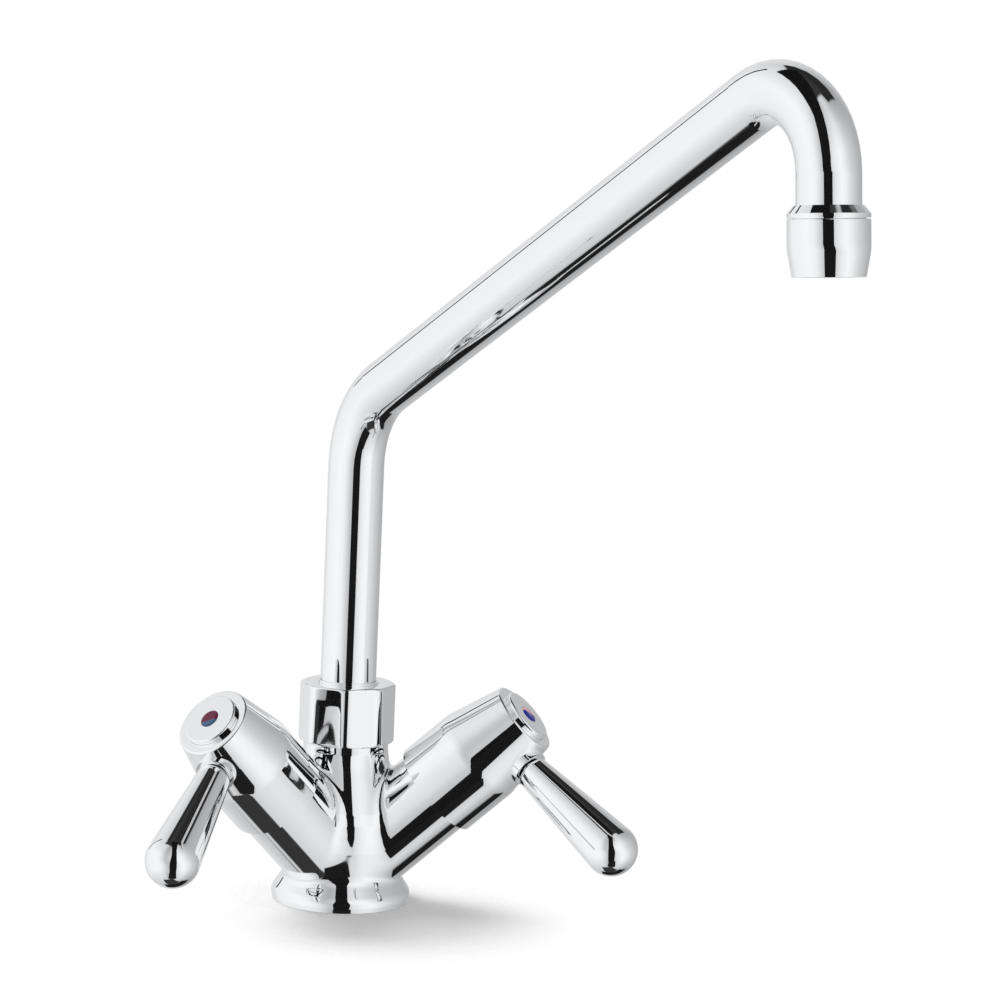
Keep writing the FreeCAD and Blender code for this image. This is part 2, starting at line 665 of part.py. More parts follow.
def make_outlet():
    frame = outlet_frame()
    keep(turned_body("outlet_adaptor_body", [
        ("tube_radius + thread_gap", "0"),
        ("tube_radius + tube_wall * 0.6", "0"),
        ("adaptor_radius", "adaptor_slope"),
        ("adaptor_radius", "adaptor_collar"),
        ("adaptor_thread_radius", "adaptor_collar"),
        ("adaptor_thread_radius", "adaptor_end"),
        ("adaptor_bore_radius", "adaptor_end"),
        ("adaptor_bore_radius", "adaptor_socket + thread_gap"),
        ("tube_radius + thread_gap", "adaptor_socket + thread_gap"),
    ]), "outlet_adaptor", frame)
    keep(turned_body("aerator_housing_body", [
        (THREAD_BORE, "housing_top"),
        ("adaptor_radius", "housing_top"),
        ("adaptor_radius", "housing_waist"),
        ("housing_mouth_radius", "housing_end"),
        ("insert_radius - mouth_lip", "housing_end"),
        ("insert_radius - mouth_lip", "housing_end - mouth_lip"),
        (INSERT_BORE, "housing_end - mouth_lip"),
        (INSERT_BORE, f"{INSERT_STEP} + thread_gap"),
        (THREAD_BORE, f"{INSERT_STEP} + thread_gap"),
    ], [(2, "housing_end * 0.8"), (1, "thread_gap * 6")]), "aerator_housing", frame)
    keep(turned_body("aerator_gasket_body", [
        ("adaptor_bore_radius + thread_gap", "adaptor_end + thread_gap"),
        ("adaptor_thread_radius - thread_gap", "adaptor_end + thread_gap"),
        ("adaptor_thread_radius - thread_gap", "adaptor_end + thread_gap + gasket_thickness"),
        ("adaptor_bore_radius + thread_gap", "adaptor_end + thread_gap + gasket_thickness"),
    ]), "aerator_gasket", frame)
    make_aerator_insert(frame)
    keep(turned_body("aerator_screen_body", [
        ("0", f"{INSERT_TOP} + thread_gap"),
        ("adaptor_bore_radius - thread_gap", f"{INSERT_TOP} + thread_gap"),
        ("adaptor_bore_radius - thread_gap", f"{INSERT_TOP} + thread_gap + screen_thickness"),
        ("0", f"{INSERT_TOP} + thread_gap + screen_thickness"),
    ]), "aerator_screen", frame)


def make_aerator_insert(frame):
    """The plastic insert: a cup with a seat for the screen and a honeycomb floor of square cells."""
    seat = f"{INSERT_TOP} + screen_thickness + 2 * thread_gap"
    body = turned_body("aerator_insert_body", [
        ("0", f"{INSERT_END} - insert_floor"),
        ("insert_radius - 2 * insert_wall", f"{INSERT_END} - insert_floor"),
        ("insert_radius - 2 * insert_wall", seat),
        ("adaptor_bore_radius", seat),
        ("adaptor_bore_radius", INSERT_TOP),
        ("adaptor_thread_radius - thread_gap", INSERT_TOP),
        ("adaptor_thread_radius - thread_gap", INSERT_STEP),
        ("insert_radius", INSERT_STEP),
        ("insert_radius", INSERT_END),
        ("0", INSERT_END),
    ])
    reach = size("insert_radius") - 2 * size("insert_wall")
    pitch = size("cell_pitch")
    rows = int(reach / pitch)
    solid_volume = body.Shape.Volume
    cells = new_sketch(body, "XY_Plane", INSERT_END)
    for column in range(-rows, rows + 1):
        for row in range(-rows, rows + 1):
            corner = math.hypot(abs(column) * pitch + size("cell_size") / 2, abs(row) * pitch + size("cell_size") / 2)
            if corner < reach:
                sides = [(-1, -1), (1, -1), (1, 1), (-1, 1)]
                draw_outline(cells, [
                    (f"{column} * cell_pitch + {across} * cell_size / 2", f"{row} * cell_pitch + {along} * cell_size / 2")
                    for across, along in sides
                ])
    pocket = body.newObject("PartDesign::Pocket", "Cells")
    pocket.Profile = (cells, [""])
    pocket.setExpression("Length", bound("insert_floor"))
    doc.recompute()
    assert pocket.Shape.Volume < solid_volume, "the honeycomb cut nothing"
    keep(body, "aerator_insert", frame)


# ---------------------------------------------------------------- a headwork: the quarter-turn valve

FLANGE_SEAT = "arm_end + flange_seal + thread_gap"
HEX_LOW = f"{FLANGE_SEAT} + flange_thickness"
HEX_HIGH = f"{HEX_LOW} + hex_height"
SEAL_TOP = "valve_seat + inlet_seal_height"
FIXED_TOP = f"{SEAL_TOP} + disc_thickness"
TURNING_LOW = f"{FIXED_TOP} + thread_gap"
TURNING_TOP = f"{TURNING_LOW} + disc_thickness"
FOOT_LOW = f"{TURNING_TOP} + thread_gap"
FOOT_HIGH = f"{FOOT_LOW} + spindle_foot"
SHAFT_BORE = "spindle_radius + running_gap"
DISC_RADIUS = "( chamber_radius - running_gap )"
GROOVE_HALF = "spindle_groove * 0.65"
CLIP_LOW = "neck_top + running_gap"
SHUT = 90.0  # the turning disc's windows, from the fixed disc's, when the valve is shut


def make_headwork_body(word, frame):
    hex_corner = "hex_across / 2 / cos( 30 deg )"
    body = turned_body(f"{word}_headwork_turned", [
        ("chamber_radius", "shank_end"),
        ("shank_radius", "shank_end"),
        ("shank_radius", "shank_top"),
        ("arm_bore_radius - thread_gap", "shank_top"),
        ("arm_bore_radius - thread_gap", FLANGE_SEAT),
        ("flange_radius", FLANGE_SEAT),
        ("flange_radius", HEX_LOW),
        (hex_corner, HEX_LOW),
        (hex_corner, HEX_HIGH),
        ("neck_radius", HEX_HIGH),
        ("neck_radius", "neck_top"),
        (SHAFT_BORE, "neck_top"),
        (SHAFT_BORE, "chamber_top"),
        ("chamber_radius", "chamber_top"),
    ])
    cut_flats(body, 6, "hex_across", hex_corner, HEX_HIGH, "hex_height")
    before = body.Shape.Volume
    windows = new_sketch(body, "XY_Plane", "window_bottom + window_height")
    half_width = "window_width / 2"
    beyond = "shank_radius + 0.5"
    draw_outline(windows, [
        (f"0 - {half_width}", f"0 - ({beyond})"),
        (half_width, f"0 - ({beyond})"),
        (half_width, beyond),
        (f"0 - {half_width}", beyond),
    ])
    slot = body.newObject("PartDesign::Pocket", "SideWindows")
    slot.Profile = (windows, [""])
    slot.setExpression("Length", bound("window_height"))
    doc.recompute()
    assert slot.Shape.Volume < before, "the side windows cut nothing"
    keep(body, f"{word}_headwork_body", frame)


def make_disc(word, name, low, notched, frame):
    """A ceramic disc with two facing windows; the turning one also has two drive notches."""
    body = turned_body(f"{word}_{name}_turned", [
        ("0", low),
        (DISC_RADIUS, low),
        (DISC_RADIUS, f"{low} + disc_thickness"),
        ("0", f"{low} + disc_thickness"),
    ])
    top = turned_height(f"{low} + disc_thickness")
    half_sweep = size("disc_window_angle") / 2
    for heading in (90, 270):
        about_z = FreeCAD.Rotation(FreeCAD.Vector(0, 0, 1), heading - half_sweep)
        out = FreeCAD.Rotation(FreeCAD.Vector(0, 0, 1), heading).multVec(FreeCAD.Vector(size("disc_bridge"), 0, 0))
        add_primitive(body, "SubtractiveCylinder", "Window", {
            "Radius": "disc_window_radius - disc_bridge",
            "Height": "disc_thickness + 2",
            "Angle": "disc_window_angle",
        }, (out.x, out.y, top - size("disc_thickness") - 1), about_z)
    if notched:
        before = body.Shape.Volume
        notches = new_sketch(body, "XY_Plane", f"{low} + disc_thickness")
        for sign in ("", "0 - "):
            near = f"{sign}( {DISC_RADIUS} - drive_depth )"
            far = f"{sign}( {DISC_RADIUS} + 1 )"
            draw_outline(notches, [
                (near, "0 - drive_width / 2"),
                (far, "0 - drive_width / 2"),
                (far, "drive_width / 2"),
                (near, "drive_width / 2"),
            ])
        pocket = body.newObject("PartDesign::Pocket", "DriveNotches")
        pocket.Profile = (notches, [""])
        pocket.setExpression("Length", bound("disc_thickness"))
        doc.recompute()
        assert pocket.Shape.Volume < before, "the drive notches cut nothing"
    keep(body, f"{word}_{name}", frame)


def make_spindle(word, frame):
    """The spindle: a foot with two tangs that turn the disc, an O-ring groove and a clip groove."""
    groove_floor = "spindle_radius - spindle_groove"
    clip_floor = "spindle_radius - clip_thickness"
    body = turned_body(f"{word}_spindle_turned", [
        ("0", FOOT_LOW),
        (DISC_RADIUS, FOOT_LOW),
        (DISC_RADIUS, FOOT_HIGH),
        ("spindle_radius", FOOT_HIGH),
        ("spindle_radius", f"spindle_groove_at - {GROOVE_HALF}"),
        (groove_floor, f"spindle_groove_at - {GROOVE_HALF}"),
        (groove_floor, f"spindle_groove_at + {GROOVE_HALF}"),
        ("spindle_radius", f"spindle_groove_at + {GROOVE_HALF}"),
        ("spindle_radius", CLIP_LOW),
        (clip_floor, CLIP_LOW),
        (clip_floor, f"{CLIP_LOW} + clip_thickness + thread_gap"),
        ("spindle_radius", f"{CLIP_LOW} + clip_thickness + thread_gap"),
        ("spindle_radius", "spindle_top"),
        ("screw_radius", "spindle_top"),
        ("screw_radius", "spindle_top - screw_reach - 1"),
        ("0", "spindle_top - screw_reach - 1"),
    ])
    before = body.Shape.Volume
    sides = new_sketch(body, "XY_Plane", FOOT_HIGH)
    for sign in ("", "0 - "):
        near = f"{sign}spindle_foot_width / 2"
        far = f"{sign}( {DISC_RADIUS} + 1 )"
        draw_outline(sides, [(f"0 - {DISC_RADIUS} - 1", near), (f"{DISC_RADIUS} + 1", near),
                             (f"{DISC_RADIUS} + 1", far), (f"0 - {DISC_RADIUS} - 1", far)])
    bar = body.newObject("PartDesign::Pocket", "FootSides")
    bar.Profile = (sides, [""])
    bar.setExpression("Length", bound("spindle_foot"))
    doc.recompute()
    assert bar.Shape.Volume < before, "the foot's sides cut nothing"
    before = body.Shape.Volume
    tangs = new_sketch(body, "XY_Plane", FOOT_LOW)
    half = "drive_width / 2 - thread_gap"
    for sign in ("", "0 - "):
        near = f"{sign}( {DISC_RADIUS} - drive_depth + thread_gap )"
        far = f"{sign}( {DISC_RADIUS} * cos( 12 deg ) )"
        draw_outline(tangs, [(near, f"0 - ({half})"), (far, f"0 - ({half})"), (far, half), (near, half)])
    pad = body.newObject("PartDesign::Pad", "Tangs")
    pad.Profile = (tangs, [""])
    pad.Reversed = True
    pad.setExpression("Length", bound("disc_thickness * 0.8"))
    doc.recompute()
    assert pad.Shape.Volume > before, "the tangs added nothing"
    keep(body, f"{word}_spindle", frame)
    make_o_ring(f"{word}_spindle_o_ring", SHAFT_BORE, "spindle_groove + running_gap", "spindle_groove_at", frame)


def make_clip(word, frame):
    """A spring clip: a flat ring, open on one side."""
    body = turned_body(f"{word}_clip_turned", [
        ("spindle_radius - clip_thickness + thread_gap", CLIP_LOW),
        ("clip_radius", CLIP_LOW),
        ("clip_radius", f"{CLIP_LOW} + clip_thickness"),
        ("spindle_radius - clip_thickness + thread_gap", f"{CLIP_LOW} + clip_thickness"),
    ])
    before = body.Shape.Volume
    opening = new_sketch(body, "XY_Plane", f"{CLIP_LOW} + clip_thickness")
    draw_outline(opening, [
        ("0", "0 - spindle_radius * 0.6"),
        ("clip_radius + 1", "0 - spindle_radius * 0.6"),
        ("clip_radius + 1", "spindle_radius * 0.6"),
        ("0", "spindle_radius * 0.6"),
    ])
    pocket = body.newObject("PartDesign::Pocket", "Opening")
    pocket.Profile = (opening, [""])
    pocket.setExpression("Length", bound("clip_thickness"))
    doc.recompute()
    assert pocket.Shape.Volume < before, "the clip's opening cut nothing"
    keep(body, f"{word}_spindle_clip", frame)


def make_headwork(word, side):
    frame = arm_frame(side)
    make_headwork_body(word, frame)
    keep(turned_body(f"{word}_flange_seal_turned", [
        ("arm_bore_radius + thread_gap", "arm_end"),
        ("flange_radius", "arm_end"),
        ("flange_radius", "arm_end + flange_seal"),
        ("arm_bore_radius + thread_gap", "arm_end + flange_seal"),
    ]), f"{word}_flange_seal", frame)
    keep(turned_body(f"{word}_inlet_seal_turned", [
        ("disc_window_radius", "valve_seat"),
        (DISC_RADIUS, "valve_seat"),
        (DISC_RADIUS, f"{SEAL_TOP} - thread_gap"),
        ("disc_window_radius", f"{SEAL_TOP} - thread_gap"),
    ]), f"{word}_inlet_seal", frame)
    make_disc(word, "fixed_disc", SEAL_TOP, False, frame)
    across = frame.multiply(FreeCAD.Placement(FreeCAD.Vector(), FreeCAD.Rotation(FreeCAD.Vector(0, 0, 1), SHUT)))
    make_disc(word, "turning_disc", TURNING_LOW, True, across)
    make_spindle(word, across)
    make_clip(word, across)


# ---------------------------------------------------------------- a handle

SCREW_SEAT = "hood_front - button_seat - screw_head"
HUB_ROOF = "spindle_top + thread_gap"


def make_hood(word, side):
    """The hood: a thin cap over the arm with a hub on the spindle and a boss for the lever."""
    inner_radius = "arm_radius + hood_gap"
    body = turned_body(f"{word}_hood_turned", [
        (inner_radius, "hood_back"),
        ("hood_radius", "hood_back"),
        ("hood_radius", "hood_shoulder"),
        ("hood_front_radius", "hood_front"),
        ("button_radius + thread_gap", "hood_front"),
        ("button_radius + thread_gap", "hood_front - button_seat"),
        ("screw_head_radius + thread_gap", "hood_front - button_seat"),
        ("screw_head_radius + thread_gap", SCREW_SEAT),
        ("screw_radius + thread_gap", SCREW_SEAT),
        ("screw_radius + thread_gap", HUB_ROOF),
        ("spindle_radius + thread_gap", HUB_ROOF),
        ("spindle_radius + thread_gap", "hub_bottom"),
        ("hub_radius", "hub_bottom"),
        ("hub_radius", "hood_front - hood_roof"),
        ("hood_front_radius - hood_wall + ( hood_radius - hood_front_radius ) * hood_roof"
         " / ( hood_front - hood_shoulder )", "hood_front - hood_roof"),
        (inner_radius, "hood_shoulder - hood_wall"),
    ], [(2, "hood_shoulder_round"), (3, "hood_edge_round")])
    lever = lever_frame(side)
    inward = (size("lever_out") - size("hub_radius") + size("boss_in_hub")) / math.cos(math.radians(size("lever_tilt")))
    about = lever.multVec(FreeCAD.Vector(0, 0, -inward))
    add_primitive(body, "AdditiveCylinder", "LeverBoss", {
        "Radius": "lever_boss_radius",
        "Height": f"lever_boss_stand + {inward}",
    }, (about.x, about.y, about.z), lever.Rotation)
    return body


def make_handle(word, side):
    frame = arm_frame(side)
    hood = make_hood(word, side)
    lever = lever_frame(side)
    hole_start = lever.multVec(FreeCAD.Vector(0, 0, -size("lever_neck_length")))
    add_primitive(hood, "SubtractiveCylinder", "LeverHole", {
        "Radius": "lever_neck_radius + thread_gap",
        "Height": "lever_neck_length + lever_boss_stand + 1",
    }, (hole_start.x, hole_start.y, hole_start.z), lever.Rotation)
    keep(hood, f"{word}_hood", frame)
    make_lever(word, frame.multiply(lever))
    keep(turned_body(f"{word}_button_turned", [
        ("0", "hood_front - button_seat + thread_gap"),
        ("button_radius", "hood_front - button_seat + thread_gap"),
        ("button_radius", "hood_front + button_stand"),
        ("lens_radius + thread_gap", "hood_front + button_stand"),
        ("lens_radius + thread_gap", "hood_front + button_stand - lens_seat"),
        ("0", "hood_front + button_stand - lens_seat"),
    ], [(2, "button_round")]), f"{word}_index_button", frame)
    keep(turned_body(f"{word}_lens_turned", [
        ("0", "hood_front + button_stand - lens_seat + thread_gap"),
        ("lens_radius", "hood_front + button_stand - lens_seat + thread_gap"),
        ("lens_radius", "hood_front + button_stand + lens_stand"),
        ("0", "hood_front + button_stand + lens_stand"),
    ], [(2, "lens_round")]), f"{word}_index_lens", frame)
    make_handle_screw(word, frame)


def make_handle_screw(word, frame):
    body = turned_body(f"{word}_screw_turned", [
        ("0", "spindle_top - screw_reach"),
        ("screw_radius - thread_gap", "spindle_top - screw_reach"),
        ("screw_radius - thread_gap", f"{SCREW_SEAT} + thread_gap"),
        ("screw_head_radius", f"{SCREW_SEAT} + thread_gap"),
        ("screw_head_radius", f"{SCREW_SEAT} + screw_head"),
        ("0", f"{SCREW_SEAT} + screw_head"),
    ])
    before = body.Shape.Volume
    socket = new_sketch(body, "XY_Plane", f"{SCREW_SEAT} + screw_head")
    draw_outline(socket, polygon(6, "screw_socket * 2"))
    pocket = body.newObject("PartDesign::Pocket", "Socket")
    pocket.Profile = (socket, [""])
    pocket.setExpression("Length", bound("screw_head * 0.6"))
    doc.recompute()
    assert pocket.Shape.Volume < before, "the screw's socket cut nothing"
    keep(body, f"{word}_handle_screw", frame)


def make_lever(word, placement):
    """The lever: a screwed neck, a rounded root and a cone that runs into the ball."""
    root = size("lever_boss_stand") + size("face_gap")
    run = size("lever_length") - root - size("lever_root_round")
    slope = math.asin((size("ball_radius") - size("lever_root_radius")) / run)
    meet = size("lever_length") - size("ball_radius") * math.sin(slope)
    here = FreeCAD.Rotation()
    neck = cylinder(f"{word}_lever_neck", "lever_neck_radius", "lever_neck_length + lever_boss_stand + face_gap + 1",
                    FreeCAD.Placement(FreeCAD.Vector(0, 0, thread_gap_below()), here))
    cone = doc.addObject("Part::Cone", f"{word}_lever_cone")
    cone.setExpression("Radius1", bound("lever_root_radius"))
    cone.Radius2 = size("ball_radius") * math.cos(slope)
    cone.Height = meet - root
    cone.Placement = FreeCAD.Placement(FreeCAD.Vector(0, 0, root), here)
    ball = doc.addObject("Part::Sphere", f"{word}_lever_ball")
    ball.setExpression("Radius", bound("ball_radius"))
    ball.Placement = FreeCAD.Placement(FreeCAD.Vector(0, 0, size("lever_length")), here)
    doc.recompute()
    rounded = doc.addObject("Part::Fillet", f"{word}_lever_rounded")
    rounded.Base = cone
    edges = ring_edges(cone.Shape, size("lever_root_radius"), root)
    rounded.Edges = [(int(name[4:]), size("lever_root_round"), size("lever_root_round")) for name in edges]
    whole = doc.addObject("Part::MultiFuse", f"{word}_lever_whole")
    whole.Shapes = [neck, rounded, ball]
    doc.recompute()
    keep(whole, f"{word}_lever", placement)


def thread_gap_below():
    return size("thread_gap") - size("lever_neck_length")


# ---------------------------------------------------------------- build, check and write

SIDES = (("hot", -1), ("cold", 1))


def check_and_write():
    """Stop on any failed object or shape, then write one STEP file for each sub-part."""
    for item in doc.Objects:
        assert "Invalid" not in item.State and "Error" not in item.State, f"{item.Label} failed"
    for piece in sub_parts:
        shape = piece.Shape
        assert not shape.isNull() and shape.isValid(), f"{piece.Label} has no valid shape"
        assert len(shape.Solids) == 1, f"{piece.Label} is not one solid"
    os.makedirs("parts", exist_ok=True)
    for piece in sub_parts:
        piece.Shape.exportStep(f"parts/{piece.Label}.step")
        print(piece.Label, round(piece.Shape.Volume, 1))


make_faucet_body()
make_base_seal()
make_spout_nut()
make_slip_ring()
make_spigot()
make_spout_tube()
make_outlet()
for side_name, side_sign in SIDES:
    make_headwork(side_name, side_sign)
    make_handle(side_name, side_sign)
check_and_write()
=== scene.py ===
"""Dress the two handle kitchen faucet: polished plate, index dots, inner parts, threads and the studio.

Everything is in metres in the part's own frame: the origin is the centre of the foot's underside, +Z is up,
the front faces -Y and the cold side is +X.
"""
import json
import math

import bmesh
import bpy
import numpy as np
from bpy.props import FloatProperty, FloatVectorProperty, IntProperty, PointerProperty
from mathutils import Matrix, Vector


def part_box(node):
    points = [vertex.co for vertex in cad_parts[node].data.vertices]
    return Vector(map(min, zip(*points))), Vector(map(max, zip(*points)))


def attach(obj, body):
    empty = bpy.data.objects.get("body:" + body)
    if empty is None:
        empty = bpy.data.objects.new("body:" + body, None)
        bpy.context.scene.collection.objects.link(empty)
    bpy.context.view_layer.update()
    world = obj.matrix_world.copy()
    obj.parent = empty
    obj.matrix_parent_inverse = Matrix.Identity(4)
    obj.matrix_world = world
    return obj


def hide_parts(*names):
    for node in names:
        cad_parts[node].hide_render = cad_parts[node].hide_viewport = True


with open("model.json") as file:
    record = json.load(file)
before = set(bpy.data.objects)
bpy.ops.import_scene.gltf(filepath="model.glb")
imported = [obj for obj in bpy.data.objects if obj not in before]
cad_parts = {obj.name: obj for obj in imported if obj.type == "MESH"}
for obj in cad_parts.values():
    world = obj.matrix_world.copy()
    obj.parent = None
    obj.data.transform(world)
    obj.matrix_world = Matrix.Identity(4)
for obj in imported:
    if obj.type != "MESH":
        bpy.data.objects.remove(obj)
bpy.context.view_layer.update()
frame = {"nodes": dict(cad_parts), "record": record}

bl_info = {
    "name": "Two Handle Kitchen Faucet",
    "version": (1, 0, 0),
    "blender": (4, 5, 0),
    "location": "View3D > Sidebar > Faucet",
    "description": "Finishes, threads, screen and studio for the two handle kitchen faucet",
    "category": "Object",
}

MM = 0.001
NODES = frame["nodes"]
SIDES = ("hot", "cold")


def color_property(name, description, default):
    return FloatVectorProperty(name=name, description=description, subtype="COLOR", size=3, min=0, max=1,
                               default=default)


class FaucetFinishes(bpy.types.PropertyGroup):
    """Colours and surface sizes of the faucet's finishes."""

    plate: color_property("Plate", "Colour of the polished plate", (0.955, 0.958, 0.965))
    plate_roughness: FloatProperty(name="Plate Roughness", description="Haze of the polished plate",
                                   min=0, max=1, default=0.025)
    casting_wave: FloatProperty(name="Casting Wave", description="Height of the hand polished ripple", min=0,
                                subtype="DISTANCE", unit="LENGTH", default=0.002 * MM)
    brass: color_property("Brass", "Colour of the bare brass inside", (0.78, 0.58, 0.27))
    steel: color_property("Steel", "Colour of the spring steel", (0.62, 0.63, 0.65))
    rubber: color_property("Rubber", "Colour of the seals", (0.022, 0.022, 0.024))
    ceramic: color_property("Ceramic", "Colour of the valve discs", (0.86, 0.85, 0.81))
    insert: color_property("Insert", "Colour of the aerator insert", (0.8, 0.82, 0.84))
    hot_red: color_property("Hot Red", "Red field of the hot index dot", (0.13, 0.012, 0.04))
    hot_blue: color_property("Hot Blue", "Blue field of the hot index dot", (0.05, 0.13, 0.24))
    cold_red: color_property("Cold Red", "Pale red field of the cold index dot", (0.78, 0.5, 0.53))
    cold_blue: color_property("Cold Blue", "Blue field of the cold index dot", (0.006, 0.02, 0.36))


class FaucetCasting(bpy.types.PropertyGroup):
    """How the forms of the cast body and the spout nut flow into each other, in millimetres."""

    arm_blend: FloatProperty(name="Arm Blend", min=0.1, default=3.0,
                             description="Reach of the hollow blend between an arm and the throat")
    foot_blend: FloatProperty(name="Foot Blend", description="Reach of the blend above the foot's flare",
                              min=0.1, default=1.5)
    throat_low: FloatProperty(name="Throat Low", description="Radius of the throat at deck level",
                              min=14, default=19.2)
    throat_curve: FloatProperty(name="Throat Curve", description="How late the column widens into the throat",
                                min=1, default=1.6)
    throat_front: FloatProperty(name="Throat Front", min=0, default=5.9,
                                description="How far the throat stands forward between the arms")
    nut_round: FloatProperty(name="Nut Round", description="Reach of the rounding of the nut's corners",
                             min=0.1, default=1.0)
    grain: FloatProperty(name="Grain", description="Size of the mesh cells", min=0.3, default=0.7)


class FaucetSmallParts(bpy.types.PropertyGroup):
    """Sizes of the threads and of the aerator's screen."""

    inlet_pitch: FloatProperty(name="Inlet Pitch", description="Pitch of the inlet threads", subtype="DISTANCE",
                               unit="LENGTH", default=1.0 * MM)
    stud_pitch: FloatProperty(name="Stud Pitch", description="Pitch of the fixing stud's thread",
                              subtype="DISTANCE", unit="LENGTH", default=1.25 * MM)
    thread_steps: IntProperty(name="Thread Steps", description="Straight steps in one turn of a thread", min=8,
                              default=32)
    screen_radius: FloatProperty(name="Screen Radius", description="Radius of the woven screen",
                                 subtype="DISTANCE", unit="LENGTH", default=7.4 * MM)
    wire_pitch: FloatProperty(name="Wire Pitch", description="Between two wires of the screen",
                              subtype="DISTANCE", unit="LENGTH", default=0.75 * MM)
    wire_radius: FloatProperty(name="Wire Radius", description="Radius of a wire of the screen",
                               subtype="DISTANCE", unit="LENGTH", default=0.085 * MM)


class FaucetStudio(bpy.types.PropertyGroup):
    """The camera, the lamp and the floor."""

    lens: FloatProperty(name="Lens", description="Focal length on a 36 mm sensor", unit="CAMERA",
                        default=136.8)
    distance: FloatProperty(name="Distance", description="Camera from its aim", subtype="DISTANCE",
                            unit="LENGTH", default=1.22212)
    azimuth: FloatProperty(name="Azimuth", description="Camera from the front towards the cold side",
                           subtype="ANGLE", default=math.radians(-17.5))
    elevation: FloatProperty(name="Elevation", description="Camera above level", subtype="ANGLE",
                             default=math.radians(7.136))
    roll: FloatProperty(name="Roll", description="Camera turned about its line of sight", subtype="ANGLE",
                        default=math.radians(2.423))
    aim_right: FloatProperty(name="Aim Right", description="Aim to the right of the column",
                             subtype="DISTANCE", unit="LENGTH", default=0.0466)
    aim_height: FloatProperty(name="Aim Height", description="Height of the aim above the deck",
                              subtype="DISTANCE", unit="LENGTH", default=0.13283)
    lamp_power: FloatProperty(name="Lamp Power", description="Power of the soft lamp", unit="POWER",
                              default=14.0)
    dome: FloatProperty(name="Dome", description="Level of the even light from all round", min=0,
                        default=0.62)
    floor_color: color_property("Floor", "Colour of the floor", (0.97, 0.97, 0.97))
    floor_radius: FloatProperty(name="Floor Radius", description="Where the floor has faded to white",
                                subtype="DISTANCE", unit="LENGTH", default=0.062)


# ---------------------------------------------------------------- node helpers

def new_tree(kind, name, inputs, outputs):
    """A node tree with named inputs (name, socket kind, default) and outputs (name, socket kind)."""
    tree = bpy.data.node_groups.new(name, kind)
    for label, socket, default in inputs:
        item = tree.interface.new_socket(name=label, in_out="INPUT", socket_type=socket)
        if default is not None:
            item.default_value = default
    for label, socket in outputs:
        tree.interface.new_socket(name=label, in_out="OUTPUT", socket_type=socket)
    return tree, tree.nodes.new("NodeGroupInput"), tree.nodes.new("NodeGroupOutput")


def node(tree, kind, values=None, **settings):
    """A node with its settings and the values or links of its inputs."""
    made = tree.nodes.new(kind)
    for key, value in settings.items():
        setattr(made, key, value)
    for key, value in (values or {}).items():
        if isinstance(value, bpy.types.NodeSocket):
            tree.links.new(value, made.inputs[key])
        else:
            made.inputs[key].default_value = value
    return made


def use_group(tree, group, coordinates, values):
    """A shared group that reads the coordinates, with its own values."""
    made = node(tree, "ShaderNodeGroup", node_tree=group)
    tree.links.new(coordinates, made.inputs[0])
    for label, value in values.items():
        made.inputs[label].default_value = value
    return made


def built_once(name):
    """Build a shader group the first time it is asked for, and hand out the same one after that."""
    def wrap(build):
        return lambda: bpy.data.node_groups.get(name) or build(name)
    return wrap


def add_object(name, data):
    """A new object in the scene, at the origin."""
    made = bpy.data.objects.new(name, data)
    bpy.context.scene.collection.objects.link(made)
    return made


def arithmetic(tree, operation, first, second=0.0, clamp=False):
    return node(tree, "ShaderNodeMath", {0: first, 1: second}, operation=operation, use_clamp=clamp).outputs[0]


def dot_product(tree, first, second):
    return node(tree, "ShaderNodeVectorMath", {0: first, 1: second}, operation="DOT_PRODUCT").outputs["Value"]


# ---------------------------------------------------------------- shared effects

@built_once("Polish")
def polish_group(name):
    """Hand polishing: a slow ripple in the surface and faint haze where cloth has passed."""
    tree, given, result = new_tree(
        "ShaderNodeTree", name,
        [("Coordinates", "NodeSocketVector", None), ("Ripple Size", "NodeSocketFloat", 120.0),
         ("Haze Size", "NodeSocketFloat", 900.0), ("Roughness", "NodeSocketFloat", 0.03),
         ("Haze", "NodeSocketFloat", 0.02)],
        [("Roughness", "NodeSocketFloat"), ("Height", "NodeSocketFloat")])
    ripple = node(tree, "ShaderNodeTexNoise", {"Vector": given.outputs["Coordinates"],
                                               "Scale": given.outputs["Ripple Size"], "Detail": 1.0})
    haze = node(tree, "ShaderNodeTexNoise", {"Vector": given.outputs["Coordinates"],
                                             "Scale": given.outputs["Haze Size"], "Detail": 3.0})
    patchy = arithmetic(tree, "MULTIPLY", haze.outputs["Fac"], given.outputs["Haze"])
    total = arithmetic(tree, "ADD", given.outputs["Roughness"], patchy)
    tree.links.new(total, result.inputs["Roughness"])
    tree.links.new(ripple.outputs["Fac"], result.inputs["Height"])
    return tree


